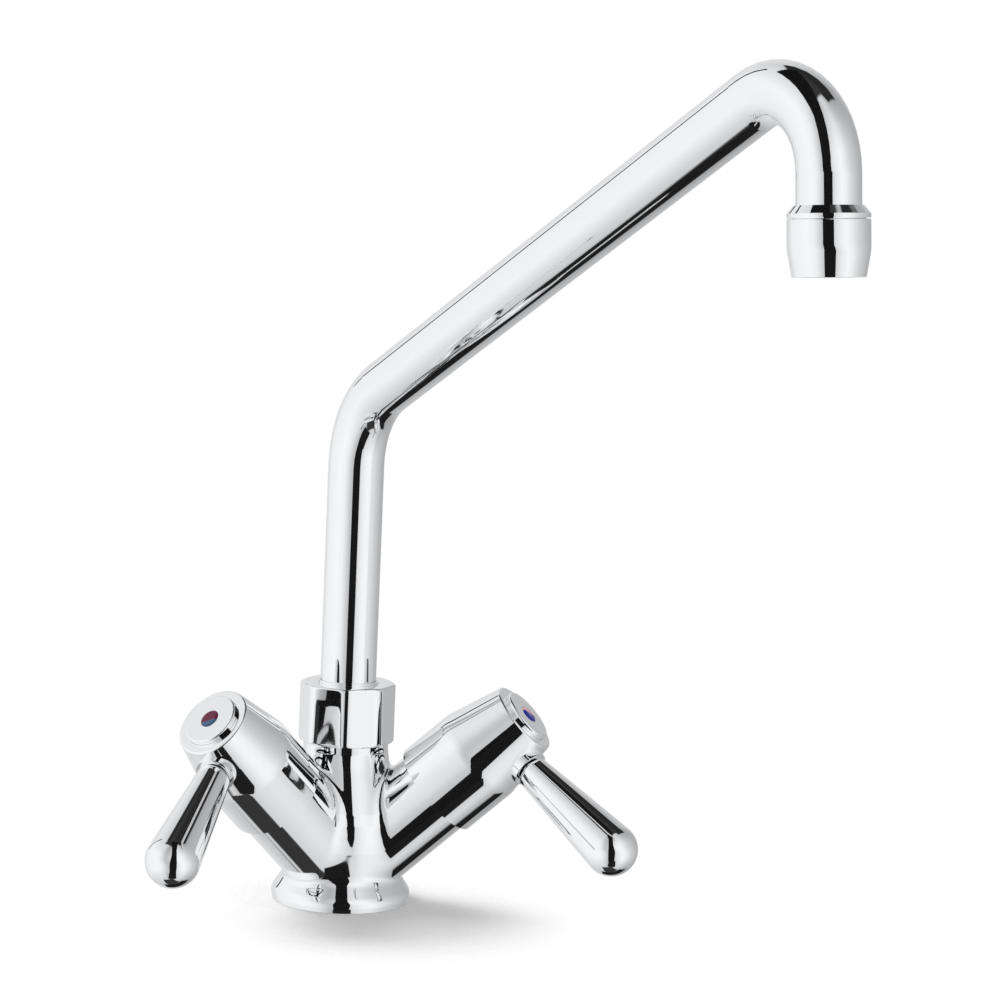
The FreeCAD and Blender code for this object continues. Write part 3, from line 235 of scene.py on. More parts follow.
@built_once("Grain")
def grain_group(name):
    """Fine grain of moulded or machined stuff: roughness and colour that vary a little."""
    tree, given, result = new_tree(
        "ShaderNodeTree", name,
        [("Coordinates", "NodeSocketVector", None), ("Size", "NodeSocketFloat", 2000.0),
         ("Color", "NodeSocketColor", (0.5, 0.5, 0.5, 1)), ("Color Change", "NodeSocketFloat", 0.1),
         ("Roughness", "NodeSocketFloat", 0.4), ("Roughness Change", "NodeSocketFloat", 0.2)],
        [("Color", "NodeSocketColor"), ("Roughness", "NodeSocketFloat"), ("Height", "NodeSocketFloat")])
    speck = node(tree, "ShaderNodeTexNoise", {"Vector": given.outputs["Coordinates"],
                                              "Scale": given.outputs["Size"], "Detail": 4.0})
    around = arithmetic(tree, "SUBTRACT", speck.outputs["Fac"], 0.5)
    shade = arithmetic(tree, "ADD", arithmetic(tree, "MULTIPLY", around, given.outputs["Color Change"]), 1.0)
    tint = node(tree, "ShaderNodeVectorMath", {0: given.outputs["Color"], "Scale": shade}, operation="SCALE")
    rough = arithmetic(tree, "ADD", given.outputs["Roughness"],
                       arithmetic(tree, "MULTIPLY", around, given.outputs["Roughness Change"]))
    tree.links.new(tint.outputs["Vector"], result.inputs["Color"])
    tree.links.new(rough, result.inputs["Roughness"])
    tree.links.new(speck.outputs["Fac"], result.inputs["Height"])
    return tree


# Width in which one colour field of an index dot passes into the other.
FIELD_EDGE = 0.3 * MM


@built_once("Two Fields")
def two_fields_group(name):
    """Two colour fields that meet on a straight line across a disc."""
    tree, given, result = new_tree(
        "ShaderNodeTree", name,
        [("Coordinates", "NodeSocketVector", None), ("Centre", "NodeSocketVector", (0, 0, 0)),
         ("Towards Second", "NodeSocketVector", (1, 0, 0)), ("Offset", "NodeSocketFloat", 0.0),
         ("First", "NodeSocketColor", (0.5, 0, 0, 1)), ("Second", "NodeSocketColor", (0, 0, 0.5, 1))],
        [("Color", "NodeSocketColor")])
    here = node(tree, "ShaderNodeVectorMath", {0: given.outputs["Coordinates"], 1: given.outputs["Centre"]},
                operation="SUBTRACT")
    along = dot_product(tree, here.outputs["Vector"], given.outputs["Towards Second"])
    past = arithmetic(tree, "SUBTRACT", along, given.outputs["Offset"])
    share = arithmetic(tree, "ADD", arithmetic(tree, "MULTIPLY", past, 1 / FIELD_EDGE), 0.5, clamp=True)
    mixed = node(tree, "ShaderNodeMix", {
        "Factor": share, "A": given.outputs["First"], "B": given.outputs["Second"]}, data_type="RGBA")
    tree.links.new(mixed.outputs["Result"], result.inputs["Color"])
    return tree


@built_once("Seam")
def seam_shadow_group(name):
    """The shadow in the narrow gap where one part's rim meets another: 1 in a ring about an axis."""
    tree, given, result = new_tree(
        "ShaderNodeTree", name,
        [("Coordinates", "NodeSocketVector", None), ("Centre", "NodeSocketVector", (0, 0, 0)),
         ("Axis", "NodeSocketVector", (0, 0, 1)), ("Along", "NodeSocketFloat", 0.0),
         ("Half Width", "NodeSocketFloat", 0.0002)],
        [("Mask", "NodeSocketFloat")])
    away = node(tree, "ShaderNodeVectorMath", {0: given.outputs["Coordinates"], 1: given.outputs["Centre"]},
                operation="SUBTRACT").outputs["Vector"]
    reach = dot_product(tree, away, given.outputs["Axis"])
    off = arithmetic(tree, "ABSOLUTE", arithmetic(tree, "SUBTRACT", reach, given.outputs["Along"]))
    mask = node(tree, "ShaderNodeMapRange", {
        "Value": arithmetic(tree, "DIVIDE", off, given.outputs["Half Width"]), "From Min": 0.8, "From Max": 1.2,
        "To Min": 1.0, "To Max": 0.0}, interpolation_type="SMOOTHSTEP")
    tree.links.new(mask.outputs["Result"], result.inputs["Mask"])
    return tree


# Colour of the painted shadow in the narrow gaps where parts meet.
SEAM_SHADOW_COLOR = (0.02, 0.02, 0.02, 1)


def new_material(name):
    """A material with its shader, and the object coordinates it reads."""
    material = bpy.data.materials.new(name)
    material.use_nodes = True
    tree = material.node_tree
    place = tree.nodes.new("ShaderNodeTexCoord").outputs["Object"]
    return material, tree, tree.nodes["Principled BSDF"], place


def plate_material(name, finishes, wave_share, seam_shadows=()):
    """Polished chromium plate, with painted shadow darkening its seams: each a centre, an axis, a place along
    it and a half width.
    """
    material, tree, shader, place = new_material(name)
    color = (*finishes.plate, 1)
    polish = use_group(tree, polish_group(), place, {"Roughness": finishes.plate_roughness})
    shader.inputs["Base Color"].default_value = color
    shader.inputs["Metallic"].default_value = 1.0
    tree.links.new(polish.outputs["Roughness"], shader.inputs["Roughness"])
    bump = node(tree, "ShaderNodeBump", {
        "Height": polish.outputs["Height"], "Distance": finishes.casting_wave * wave_share, "Strength": 1.0})
    tree.links.new(bump.outputs["Normal"], shader.inputs["Normal"])
    mask = None
    for centre, axis, along, half in seam_shadows:
        ring = use_group(tree, seam_shadow_group(), place, {
            "Centre": centre, "Axis": axis, "Along": along, "Half Width": half}).outputs["Mask"]
        mask = ring if mask is None else arithmetic(tree, "MAXIMUM", mask, ring)
    # Painted shadow: the plate's colour goes dark inside the seam rings.
    if mask is not None:
        shade = node(tree, "ShaderNodeMix", {"Factor": mask, "A": color, "B": SEAM_SHADOW_COLOR}, data_type="RGBA")
        tree.links.new(shade.outputs["Result"], shader.inputs["Base Color"])
    return material


def grained_material(name, color, metallic, roughness, change, size, coat=0.0):
    """A material whose colour, roughness and surface vary with a fine grain."""
    material, tree, shader, place = new_material(name)
    grain = use_group(tree, grain_group(), place, {
        "Size": size, "Color": (*color, 1), "Color Change": change, "Roughness": roughness,
        "Roughness Change": change})
    shader.inputs["Metallic"].default_value = metallic
    shader.inputs["Coat Weight"].default_value = coat
    tree.links.new(grain.outputs["Color"], shader.inputs["Base Color"])
    tree.links.new(grain.outputs["Roughness"], shader.inputs["Roughness"])
    bump = node(tree, "ShaderNodeBump", {
        "Height": grain.outputs["Height"], "Distance": 0.01 * MM, "Strength": 0.5})
    tree.links.new(bump.outputs["Normal"], shader.inputs["Normal"])
    return material


def lens_material(name, centre, towards, offset, first, second):
    """Clear, glossy index dot with two colour fields under its surface."""
    material, tree, shader, place = new_material(name)
    fields = use_group(tree, two_fields_group(), place, {
        "Centre": centre, "Towards Second": towards, "Offset": offset, "First": (*first, 1),
        "Second": (*second, 1)})
    tree.links.new(fields.outputs["Color"], shader.inputs["Base Color"])
    shader.inputs["Roughness"].default_value = 0.12
    shader.inputs["Specular IOR Level"].default_value = 0.35
    return material


def finish_with(material, *names):
    """Give CAD nodes a material."""
    for name in names:
        for slot in NODES[name].material_slots:
            slot.material = material


# ---------------------------------------------------------------- pieces that repeat

def set_input(modifier, label, value):
    """Set a geometry tree's input by the identifier of its socket."""
    for item in modifier.node_group.interface.items_tree:
        if item.item_type == "SOCKET" and item.in_out == "INPUT" and item.name == label:
            modifier[item.identifier] = value


def baked_piece(name, tree, inputs, material, placement):
    """Run a geometry tree and keep its result as a plain mesh at the origin."""
    carrier = add_object(name + "_maker", bpy.data.meshes.new(name + "_maker"))
    modifier = carrier.modifiers.new("Shape", "NODES")
    modifier.node_group = tree
    for label, value in {**inputs, "Material": material}.items():
        set_input(modifier, label, value)
    depsgraph = bpy.context.evaluated_depsgraph_get()
    mesh = bpy.data.meshes.new_from_object(carrier.evaluated_get(depsgraph))
    bpy.data.objects.remove(carrier)
    mesh.name = name
    mesh.transform(placement)
    mesh.polygons.foreach_set("use_smooth", [True] * len(mesh.polygons))
    return add_object(name, mesh)


def finish_tree(tree, geometry, material, result):
    """End a geometry tree in real geometry with its material."""
    whole = node(tree, "GeometryNodeRealizeInstances", {"Geometry": geometry})
    finished = node(tree, "GeometryNodeSetMaterial", {
        "Geometry": whole.outputs["Geometry"], "Material": material})
    tree.links.new(finished.outputs["Geometry"], result.inputs["Geometry"])


def thread_tree():
    """An internal thread: a ridge that winds up the wall of a hole."""
    tree, given, result = new_tree(
        "GeometryNodeTree", "Thread",
        [("Wall Radius", "NodeSocketFloat", 5 * MM), ("Pitch", "NodeSocketFloat", 1 * MM),
         ("Length", "NodeSocketFloat", 12 * MM), ("Steps", "NodeSocketInt", 32),
         ("Material", "NodeSocketMaterial", None)],
        [("Geometry", "NodeSocketGeometry")])
    turns = arithmetic(tree, "DIVIDE", given.outputs["Length"], given.outputs["Pitch"])
    winding = node(tree, "GeometryNodeCurveSpiral", {
        "Resolution": given.outputs["Steps"], "Rotations": turns, "Start Radius": given.outputs["Wall Radius"],
        "End Radius": given.outputs["Wall Radius"], "Height": given.outputs["Length"]})
    upright = node(tree, "GeometryNodeSetCurveNormal", {"Curve": winding.outputs["Curve"]}, mode="Z_UP")
    ridge = node(tree, "GeometryNodeCurvePrimitiveCircle", {
        "Resolution": 4, "Radius": arithmetic(tree, "MULTIPLY", given.outputs["Pitch"], 0.48)}, mode="RADIUS")
    swept = node(tree, "GeometryNodeCurveToMesh", {"Curve": upright.outputs["Curve"],
                                                   "Profile Curve": ridge.outputs["Curve"], "Fill Caps": True})
    finish_tree(tree, swept.outputs["Mesh"], given.outputs["Material"], result)
    return tree


# The screen's outermost wires are no shorter than this share of its diameter.
SHORTEST_WIRE = 0.1


def screen_tree():
    """A round woven screen: two crossing sets of wires that pass over and under each other."""
    tree, given, result = new_tree(
        "GeometryNodeTree", "Woven Screen",
        [("Radius", "NodeSocketFloat", 7.5 * MM), ("Pitch", "NodeSocketFloat", 0.75 * MM),
         ("Wire Radius", "NodeSocketFloat", 0.08 * MM), ("Material", "NodeSocketMaterial", None)],
        [("Geometry", "NodeSocketGeometry")])
    radius, pitch, wire = (given.outputs[label] for label in ("Radius", "Pitch", "Wire Radius"))

    def times(first, second):
        return arithmetic(tree, "MULTIPLY", first, second)

    def vector(**parts):
        return node(tree, "ShaderNodeCombineXYZ", parts).outputs[0]

    def position():
        here = node(tree, "GeometryNodeInputPosition").outputs[0]
        return node(tree, "ShaderNodeSeparateXYZ", {0: here}).outputs

    half_count = arithmetic(tree, "FLOOR", arithmetic(tree, "DIVIDE", radius, pitch))
    count = arithmetic(tree, "ADD", times(half_count, 2.0), 1.0)
    starts = node(tree, "GeometryNodeMeshLine", {
        "Count": count, "Start Location": vector(X=times(times(half_count, pitch), -1.0)),
        "Offset": vector(X=pitch)})
    share = arithmetic(tree, "DIVIDE", position()["X"], radius)
    left = arithmetic(tree, "SUBTRACT", 1.0, times(share, share))
    chord = arithmetic(tree, "SQRT", arithmetic(tree, "MAXIMUM", left, SHORTEST_WIRE ** 2))
    straight = node(tree, "GeometryNodeCurvePrimitiveLine", {
        "Start": vector(Y=times(radius, -1.0)), "End": vector(Y=radius)})
    fine = node(tree, "GeometryNodeResampleCurve", {
        "Curve": straight.outputs["Curve"], "Count": times(count, 4.0)})
    wires = node(tree, "GeometryNodeInstanceOnPoints", {
        "Points": starts.outputs["Mesh"], "Instance": fine.outputs["Curve"],
        "Scale": vector(X=1.0, Y=chord, Z=1.0)})
    real = node(tree, "GeometryNodeRealizeInstances", {"Geometry": wires.outputs["Instances"]})
    x, y, _ = position()
    beat = arithmetic(tree, "ADD", arithmetic(tree, "DIVIDE", y, pitch), arithmetic(tree, "DIVIDE", x, pitch))
    lift = times(arithmetic(tree, "COSINE", times(beat, math.pi)), wire)
    sets = []
    for turn, sign in ((0.0, 1.0), (math.pi / 2, -1.0)):
        woven = node(tree, "GeometryNodeSetPosition", {
            "Geometry": real.outputs["Geometry"], "Offset": vector(Z=times(lift, sign))})
        turned = node(tree, "GeometryNodeTransform", {
            "Geometry": woven.outputs["Geometry"], "Rotation": (0.0, 0.0, turn)})
        sets.append(turned.outputs["Geometry"])
    profile = node(tree, "GeometryNodeCurvePrimitiveCircle", {"Resolution": 5, "Radius": wire}, mode="RADIUS")
    cloth = tree.nodes.new("GeometryNodeJoinGeometry")
    for geometry in sets:
        body = node(tree, "GeometryNodeCurveToMesh", {
            "Curve": geometry, "Profile Curve": profile.outputs["Curve"], "Fill Caps": True})
        tree.links.new(body.outputs["Mesh"], cloth.inputs[0])
    finish_tree(tree, cloth.outputs[0], given.outputs["Material"], result)
    return tree


# ---------------------------------------------------------------- the outsides of the casting and the nut

# All in millimetres, as in the solids.
ARM_TILT, ARM_SPREAD = math.radians(47.25), math.radians(60.8)
ARM_CROSS, ARM_RADIUS, ARM_END = 10.2, 14.6, 50.0
COLUMN_RADIUS, COLUMN_STEP = 13.2, 52.8
# The foot's outline from the deck up: radius and height.
FOOT_LINES = ((22.0, 0.0), (22.9, 3.2), (17.2, 11.6))
FOOT_RIM_ROUND, FOOT_TOP_ROUND = 1.6, 0.6
# Closer to the column and higher than this, a face belongs to the column's top.
NEAR_COLUMN = 16.0
# How far a form runs on past a place where it is cut open.
BEYOND = 2.0
# Where the throat stands forward: heights, and the share of its reach at each.
FRONT_SHARES = (5.0, 12.0, 19.0, 24.0, 28.0, 32.0, 50.0), (0.5, 0.72, 0.92, 1.0, 0.98, 0.88, 0.0)
FRONT_LOW, FRONT_WIDENING, FRONT_BLEND = 6.0, 0.45, 2.0
# The plain casting's throat: radius at the deck, and the height where it meets the column.
PLAIN_THROAT, PLAIN_THROAT_TOP = 19.4, 48.0
# A plain face stays when it lies this deep in the plain casting and this deep under the new skin.
DEEP_IN_PLAIN, DEEP_IN_NEW, ON_RIM = 0.3, 0.6, 0.01
# The painted shadow in the seam behind each hood: place along the arm and half width.
ARM_SEAM_SHADOW, ARM_SEAM_SHADOW_HALF = 41.8, 0.25

NUT_TURN, NUT_SIDES = math.radians(5.1), 8
NUT_FLAT, NUT_CORNER, NUT_HEIGHTS = 14.6, 15.6, (52.2, 71.6)
NUT_HOLE, NUT_THREAD, NUT_CEILING = 9.8, 12.05, 66.0
# The bevel's rise for each millimetre inwards, and the roundings of the edges.
NUT_BEVEL = 1.7
CORNER_ROUND, BEVEL_ROUND, NUT_RIM_ROUND, BORE_ROUND = 0.6, 0.5, 0.4, 0.3


def arm_axis(side):
    flat = math.sin(ARM_TILT)
    return np.array((side * flat * math.sin(ARM_SPREAD), -flat * math.cos(ARM_SPREAD), math.cos(ARM_TILT)))


def smooth_union(first, second, reach):
    """Both forms, with a hollow blend where they meet."""
    share = np.clip(0.5 + 0.5 * (second - first) / reach, 0, 1)
    return second + (first - second) * share - reach * share * (1 - share)


def smooth_cut(first, second, reach):
    """What both forms share, with a rounded edge where they meet."""
    return -smooth_union(-first, -second, reach)


def along_and_across(points, side):
    """How far points lie along an arm, and how far from its axis."""
    axis = arm_axis(side)
    away = points - (0, 0, ARM_CROSS)
    along = away @ axis
    return along, np.linalg.norm(away - along[..., None] * axis, axis=-1)


def throat_depth(points, shape):
    """Signed distance from the throat, which widens downwards and stands forward between the arms."""
    height = points[..., 2]
    left = np.clip(1 - height / COLUMN_STEP, 0, 1.2)
    wider = (shape.throat_low - COLUMN_RADIUS) * left ** shape.throat_curve
    column = np.hypot(points[..., 0], points[..., 1]) - COLUMN_RADIUS - wider
    forward = shape.throat_front * np.interp(height, *FRONT_SHARES)
    front = np.hypot(points[..., 0], points[..., 1] + forward) - COLUMN_RADIUS - forward * FRONT_WIDENING
    throat = smooth_union(column, np.maximum(front, FRONT_LOW - height), FRONT_BLEND)
    return np.maximum(throat, height - COLUMN_STEP - BEYOND)


def foot_depth(points):
    """Signed distance from the flared foot."""
    height = points[..., 2]
    (bottom, _), (wide, wide_height), (waist, waist_height) = FOOT_LINES
    out = np.hypot(points[..., 0], points[..., 1]) - wide
    steep = (wide - waist) / (waist_height - wide_height)
    tuck = (wide - bottom) / wide_height
    flare = (out + (height - wide_height) * steep) / math.hypot(1, steep)
    under = (out - (height - wide_height) * tuck) / math.hypot(1, tuck)
    rounded = np.maximum(smooth_cut(flare, under, FOOT_RIM_ROUND), -BEYOND - height)
    return smooth_cut(rounded, height - waist_height, FOOT_TOP_ROUND)


def casting_depth(points, shape):
    """Signed distance from the casting's outside: below zero inside."""
    whole = throat_depth(points, shape)
    for side in (-1, 1):
        along, across = along_and_across(points, side)
        arm = np.maximum(across - ARM_RADIUS, along - ARM_END - BEYOND)
        arm = np.where(along < 0, np.maximum(arm, np.hypot(along, across) - ARM_RADIUS), arm)
        whole = smooth_union(whole, arm, shape.arm_blend)
    return smooth_union(whole, foot_depth(points), shape.foot_blend)


def nut_depth(points, shape):
    """Signed distance from the spout nut: rounded flats, bevelled rims and a stepped bore."""
    height = points[..., 2]
    radius = np.hypot(points[..., 0], points[..., 1])
    whole = None
    for turn in range(NUT_SIDES):
        angle = NUT_TURN + turn * 2 * math.pi / NUT_SIDES
        flat = points[..., 0] * math.cos(angle) + points[..., 1] * math.sin(angle) - NUT_FLAT
        whole = flat if whole is None else smooth_cut(whole, flat, shape.nut_round)
    low, high = NUT_HEIGHTS
    past = np.abs(height - (low + high) / 2) - (high - low) / 2
    bevel = (radius - NUT_FLAT + past * NUT_BEVEL) / math.hypot(1, NUT_BEVEL)
    cavity = np.maximum(radius - NUT_THREAD, height - NUT_CEILING)
    for cut, reach in ((radius - NUT_CORNER, CORNER_ROUND), (bevel, BEVEL_ROUND), (past, NUT_RIM_ROUND),
                       (NUT_HOLE - radius, BORE_ROUND), (-cavity, BORE_ROUND)):
        whole = smooth_cut(whole, cut, reach)
    return whole


def slope(depth, points, shape, step=0.05):
    """Direction in which the distance grows fastest, and its rate."""
    return np.stack([(depth(points + axis, shape) - depth(points - axis, shape)) / (2 * step)
                     for axis in np.eye(3) * step], axis=-1)


def surface_net(field, low, cell):
    """Points and quads where a field of grid values passes through zero."""
    solid = field < 0
    cells = tuple(n - 1 for n in field.shape)
    corners = [(i, j, k) for i in (0, 1) for j in (0, 1) for k in (0, 1)]

    def part(array, corner):
        return array[tuple(slice(c, c + n) for c, n in zip(corner, cells))]

    inside = sum(part(solid, corner).astype(int) for corner in corners)
    active = (inside > 0) & (inside < 8)
    number = np.full(cells, -1)
    number[active] = np.arange(active.sum())
    place = np.zeros((active.sum(), 3))
    hits = np.zeros(active.sum())
    for corner in corners:
        for axis in range(3):
            if corner[axis]:
                continue
            other = tuple(1 if n == axis else c for n, c in enumerate(corner))
            one, two = part(field, corner)[active], part(field, other)[active]
            crossed = (one < 0) != (two < 0)
            share = np.where(crossed, one / np.where(crossed, one - two, 1), 0)
            point = np.tile(np.array(corner, float), (len(one), 1))
            point[:, axis] += share
            place[crossed] += point[crossed]
            hits += crossed
    place = (place / hits[:, None] + np.argwhere(active)) * cell + low
    quads = []
    for axis in range(3):
        u, v = (axis + 1) % 3, (axis + 2) % 3
        ahead = tuple(slice(1, None) if n == axis else slice(None) for n in range(3))
        behind = tuple(slice(None, -1) if n == axis else slice(None) for n in range(3))
        out = solid[behind] & ~solid[ahead]
        back = ~solid[behind] & solid[ahead]
        for mask, turn in ((out, 1), (back, -1)):
            where = np.argwhere(mask)
            where = where[(where[:, u] > 0) & (where[:, v] > 0)
                          & (where[:, u] < cells[u]) & (where[:, v] < cells[v])]
            ring = []
            for du, dv in ((1, 1), (0, 1), (0, 0), (1, 0))[::turn]:
                index = where.copy()
                index[:, u] -= du
                index[:, v] -= dv
                ring.append(number[tuple(index.T)])
            quads.append(np.stack(ring, axis=-1))
    return place, np.concatenate(quads)


def grown_skin(depth, shape, low, high, cell):
    """The surface where a distance is zero, as a bmesh in millimetres."""
    axes = [np.arange(a, b, cell) for a, b in zip(low, high)]
    grid = np.stack(np.meshgrid(*axes, indexing="ij"), axis=-1)
    points, quads = surface_net(depth(grid, shape), np.array(low), cell)
    for _ in range(4):
        rate = slope(depth, points, shape)
        points -= rate * (depth(points, shape) / np.maximum((rate ** 2).sum(axis=-1), 0.25))[:, None]
    mesh = bpy.data.meshes.new("skin")
    mesh.from_pydata(points.tolist(), [], quads.tolist())
    skin = bmesh.new()
    skin.from_mesh(mesh)
    bpy.data.meshes.remove(mesh)
    return skin


def skin_data(skin, depth, shape):
    """Points in metres, faces and the true normal at each face corner; the skin is used up."""
    skin.verts.index_update()
    places = np.array([vert.co[:] for vert in skin.verts])
    outward = slope(depth, places, shape)
    outward /= np.linalg.norm(outward, axis=-1)[:, None]
    verts = [tuple(co * MM for co in place) for place in places.tolist()]
    faces = [[vert.index for vert in face.verts] for face in skin.faces]
    normals = [tuple(outward[index]) for face in faces for index in face]
    skin.free()
    return verts, faces, normals


def skin_piece(name, verts, faces, normals, material):
    """A smooth piece with its own normals."""
    mesh = bpy.data.meshes.new(name)
    mesh.from_pydata(verts, [], faces)
    mesh.polygons.foreach_set("use_smooth", [True] * len(faces))
    mesh.normals_split_custom_set(normals)
    mesh.materials.append(material)
    return add_object(name, mesh)


def casting_skin(shape):
    """The casting's outside, open at the deck, under the nut and at the arms' ends."""
    skin = grown_skin(casting_depth, shape, (-47.0, -35.0, -4.0), (47.0, 26.0, 58.0), shape.grain)
    cuts = [(Vector((0, 0, 0)), Vector((0, 0, -1)), lambda centre: centre.z < 3.0),
            (Vector((0, 0, COLUMN_STEP)), Vector((0, 0, 1)),
             lambda centre: math.hypot(*centre.xy) < NEAR_COLUMN < centre.z)]
    for side in (-1, 1):
        axis = Vector(arm_axis(side))
        start = Vector((0, 0, ARM_CROSS))
        cuts.append((start + axis * ARM_END, axis,
                     lambda centre, axis=axis, start=start: (centre - start).dot(axis) > ARM_END - 4))
    for point, outwards, near in cuts:
        faces = [face for face in skin.faces if near(face.calc_center_median())]
        geometry = list({*faces, *(e for f in faces for e in f.edges), *(v for f in faces for v in f.verts)})
        bmesh.ops.bisect_plane(skin, geom=geometry, plane_co=point, plane_no=outwards, dist=1e-5)
        beyond = [face for face in skin.faces if near(face.calc_center_median())
                  and (face.calc_center_median() - point).dot(outwards) > 1e-4]
        bmesh.ops.delete(skin, geom=beyond, context="FACES")
    return skin


def kept_inside(plain, shape):
    """Faces of the plain casting that stay: its underside, rims, bores and water ways."""
    (bottom, _), (wide, wide_height), (waist, waist_height) = FOOT_LINES
    for face in plain.polygons:
        centre = np.array(face.center) * 1000
        height, radius = centre[2], math.hypot(centre[0], centre[1])
        arms = [along_and_across(centre, side) for side in (-1, 1)]
        on_column = height > COLUMN_STEP - ON_RIM and radius < COLUMN_RADIUS + 0.1
        on_arm = any(along > ARM_END - ON_RIM for along, _ in arms)
        flare = wide + (height - wide_height) * (waist - wide) / (waist_height - wide_height)
        foot = min(flare, bottom + height * (wide - bottom) / wide_height)
        throat = PLAIN_THROAT + (COLUMN_RADIUS - PLAIN_THROAT) * min(height / PLAIN_THROAT_TOP, 1)
        deep = [throat - radius, foot - radius if height < waist_height else -1]
        deep += [min(ARM_RADIUS - across, ARM_END - along) if along > 1 else -1 for along, across in arms]
        buried = max(deep) > DEEP_IN_PLAIN and casting_depth(centre, shape) < -DEEP_IN_NEW
        if height < ON_RIM or on_column or on_arm or buried:
            yield face.index


# ---------------------------------------------------------------- operators

class FaucetOperator:
    """What all the faucet's operators share."""
    bl_options = {"REGISTER", "UNDO"}


class FAUCET_OT_cast_body(FaucetOperator, bpy.types.Operator):
    """Cast the body with flowing blends and plate it"""
    bl_idname = "faucet.cast_body"
    bl_label = "Cast Body"

    def execute(self, context):
        shape = context.scene.faucet_casting
        # Painted shadow rings on the casting's plate, in the seams behind the hoods.
        seam_shadows = [((0, 0, ARM_CROSS * MM), arm_axis(side), ARM_SEAM_SHADOW * MM, ARM_SEAM_SHADOW_HALF * MM)
                 for side in (-1, 1)]
        plate = plate_material("casting plate", context.scene.faucet_finishes, 1.0, seam_shadows)
        verts, faces, normals = skin_data(casting_skin(shape), casting_depth, shape)
        plain = NODES["faucet_body"].data
        start = len(verts)
        verts += [tuple(vert.co) for vert in plain.vertices]
        for index in kept_inside(plain, shape):
            face = plain.polygons[index]
            faces.append([start + vert for vert in face.vertices])
            normals += [tuple(plain.corner_normals[loop].vector) for loop in face.loop_indices]
        casting = skin_piece("casting", verts, faces, normals, plate)
        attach(casting, "base")
        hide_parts("faucet_body")
        finish_with(plate, "faucet_body")
        return {"FINISHED"}


class FAUCET_OT_spout_nut(FaucetOperator, bpy.types.Operator):
    """Shape the spout nut with rounded corners and plate it"""
    bl_idname = "faucet.spout_nut"
    bl_label = "Spout Nut"

    def execute(self, context):
        shape = context.scene.faucet_casting
        plate = plate_material("nut plate", context.scene.faucet_finishes, 0.5)
        skin = grown_skin(nut_depth, shape, (-17.0, -17.0, 50.0), (17.0, 17.0, 74.0), shape.grain * 0.7)
        nut = skin_piece("rounded_nut", *skin_data(skin, nut_depth, shape), plate)
        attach(nut, "base")
        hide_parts("spout_nut")
        finish_with(plate, "spout_nut")
        return {"FINISHED"}


class FAUCET_OT_plate_spout(FaucetOperator, bpy.types.Operator):
    """Plate the spout tube, the slip ring and the outlet"""
    bl_idname = "faucet.plate_spout"
    bl_label = "Plate Spout"

    def execute(self, context):
        plate = plate_material("drawn tube plate", context.scene.faucet_finishes, 0.15)
        finish_with(plate, "spout_tube", "spout_slip_ring", "outlet_adaptor", "aerator_housing")
        return {"FINISHED"}


class FAUCET_OT_plate_handles(FaucetOperator, bpy.types.Operator):
    """Plate the hoods, the levers and the index buttons"""
    bl_idname = "faucet.plate_handles"
    bl_label = "Plate Handles"

    def execute(self, context):
        plate = plate_material("handle plate", context.scene.faucet_finishes, 0.4)
        for side in SIDES:
            finish_with(plate, f"{side}_hood", f"{side}_lever", f"{side}_index_button")
        return {"FINISHED"}


class FAUCET_OT_index_dots(FaucetOperator, bpy.types.Operator):
    """Colour the index dots"""
    bl_idname = "faucet.index_dots"
    bl_label = "Index Dots"

    def execute(self, context):
        finishes = context.scene.faucet_finishes
        fields = {
            "hot": ((-0.26, -0.734, -0.628), 1.25 * MM, finishes.hot_red, finishes.hot_blue),
            "cold": ((0.0, -0.8, -0.6), 0.0, finishes.cold_red, finishes.cold_blue),
        }
        for side, (towards, offset, first, second) in fields.items():
            low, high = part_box(f"{side}_index_lens")
            material = lens_material(
                f"{side} index dot", (low + high) / 2, Vector(towards).normalized(), offset, first, second)
            finish_with(material, f"{side}_index_lens")
        return {"FINISHED"}


class FAUCET_OT_inner_metal(FaucetOperator, bpy.types.Operator):
    """Finish the bare brass and the steel parts inside"""
    bl_idname = "faucet.inner_metal"
    bl_label = "Inner Metal"

    def execute(self, context):
        finishes = context.scene.faucet_finishes
        brass = grained_material("machined brass", finishes.brass, 1.0, 0.3, 0.15, 3000.0)
        steel = grained_material("spring steel", finishes.steel, 1.0, 0.25, 0.1, 4000.0)
        finish_with(brass, "spout_spigot")
        for side in SIDES:
            finish_with(brass, f"{side}_headwork_body", f"{side}_spindle")
            finish_with(steel, f"{side}_spindle_clip", f"{side}_handle_screw")
        return {"FINISHED"}


class FAUCET_OT_seals_and_discs(FaucetOperator, bpy.types.Operator):
    """Finish the rubber seals and the ceramic discs"""
    bl_idname = "faucet.seals_and_discs"
    bl_label = "Seals and Discs"

    def execute(self, context):
        finishes = context.scene.faucet_finishes
        rubber = grained_material("moulded rubber", finishes.rubber, 0.0, 0.6, 0.25, 2500.0)
        ceramic = grained_material("lapped ceramic", finishes.ceramic, 0.0, 0.18, 0.05, 6000.0, coat=0.3)
        finish_with(rubber, "base_seal", "spout_o_ring_lower", "spout_o_ring_upper", "aerator_gasket")
        for side in SIDES:
            finish_with(rubber, f"{side}_flange_seal", f"{side}_inlet_seal", f"{side}_spindle_o_ring")
            finish_with(ceramic, f"{side}_fixed_disc", f"{side}_turning_disc")
        return {"FINISHED"}


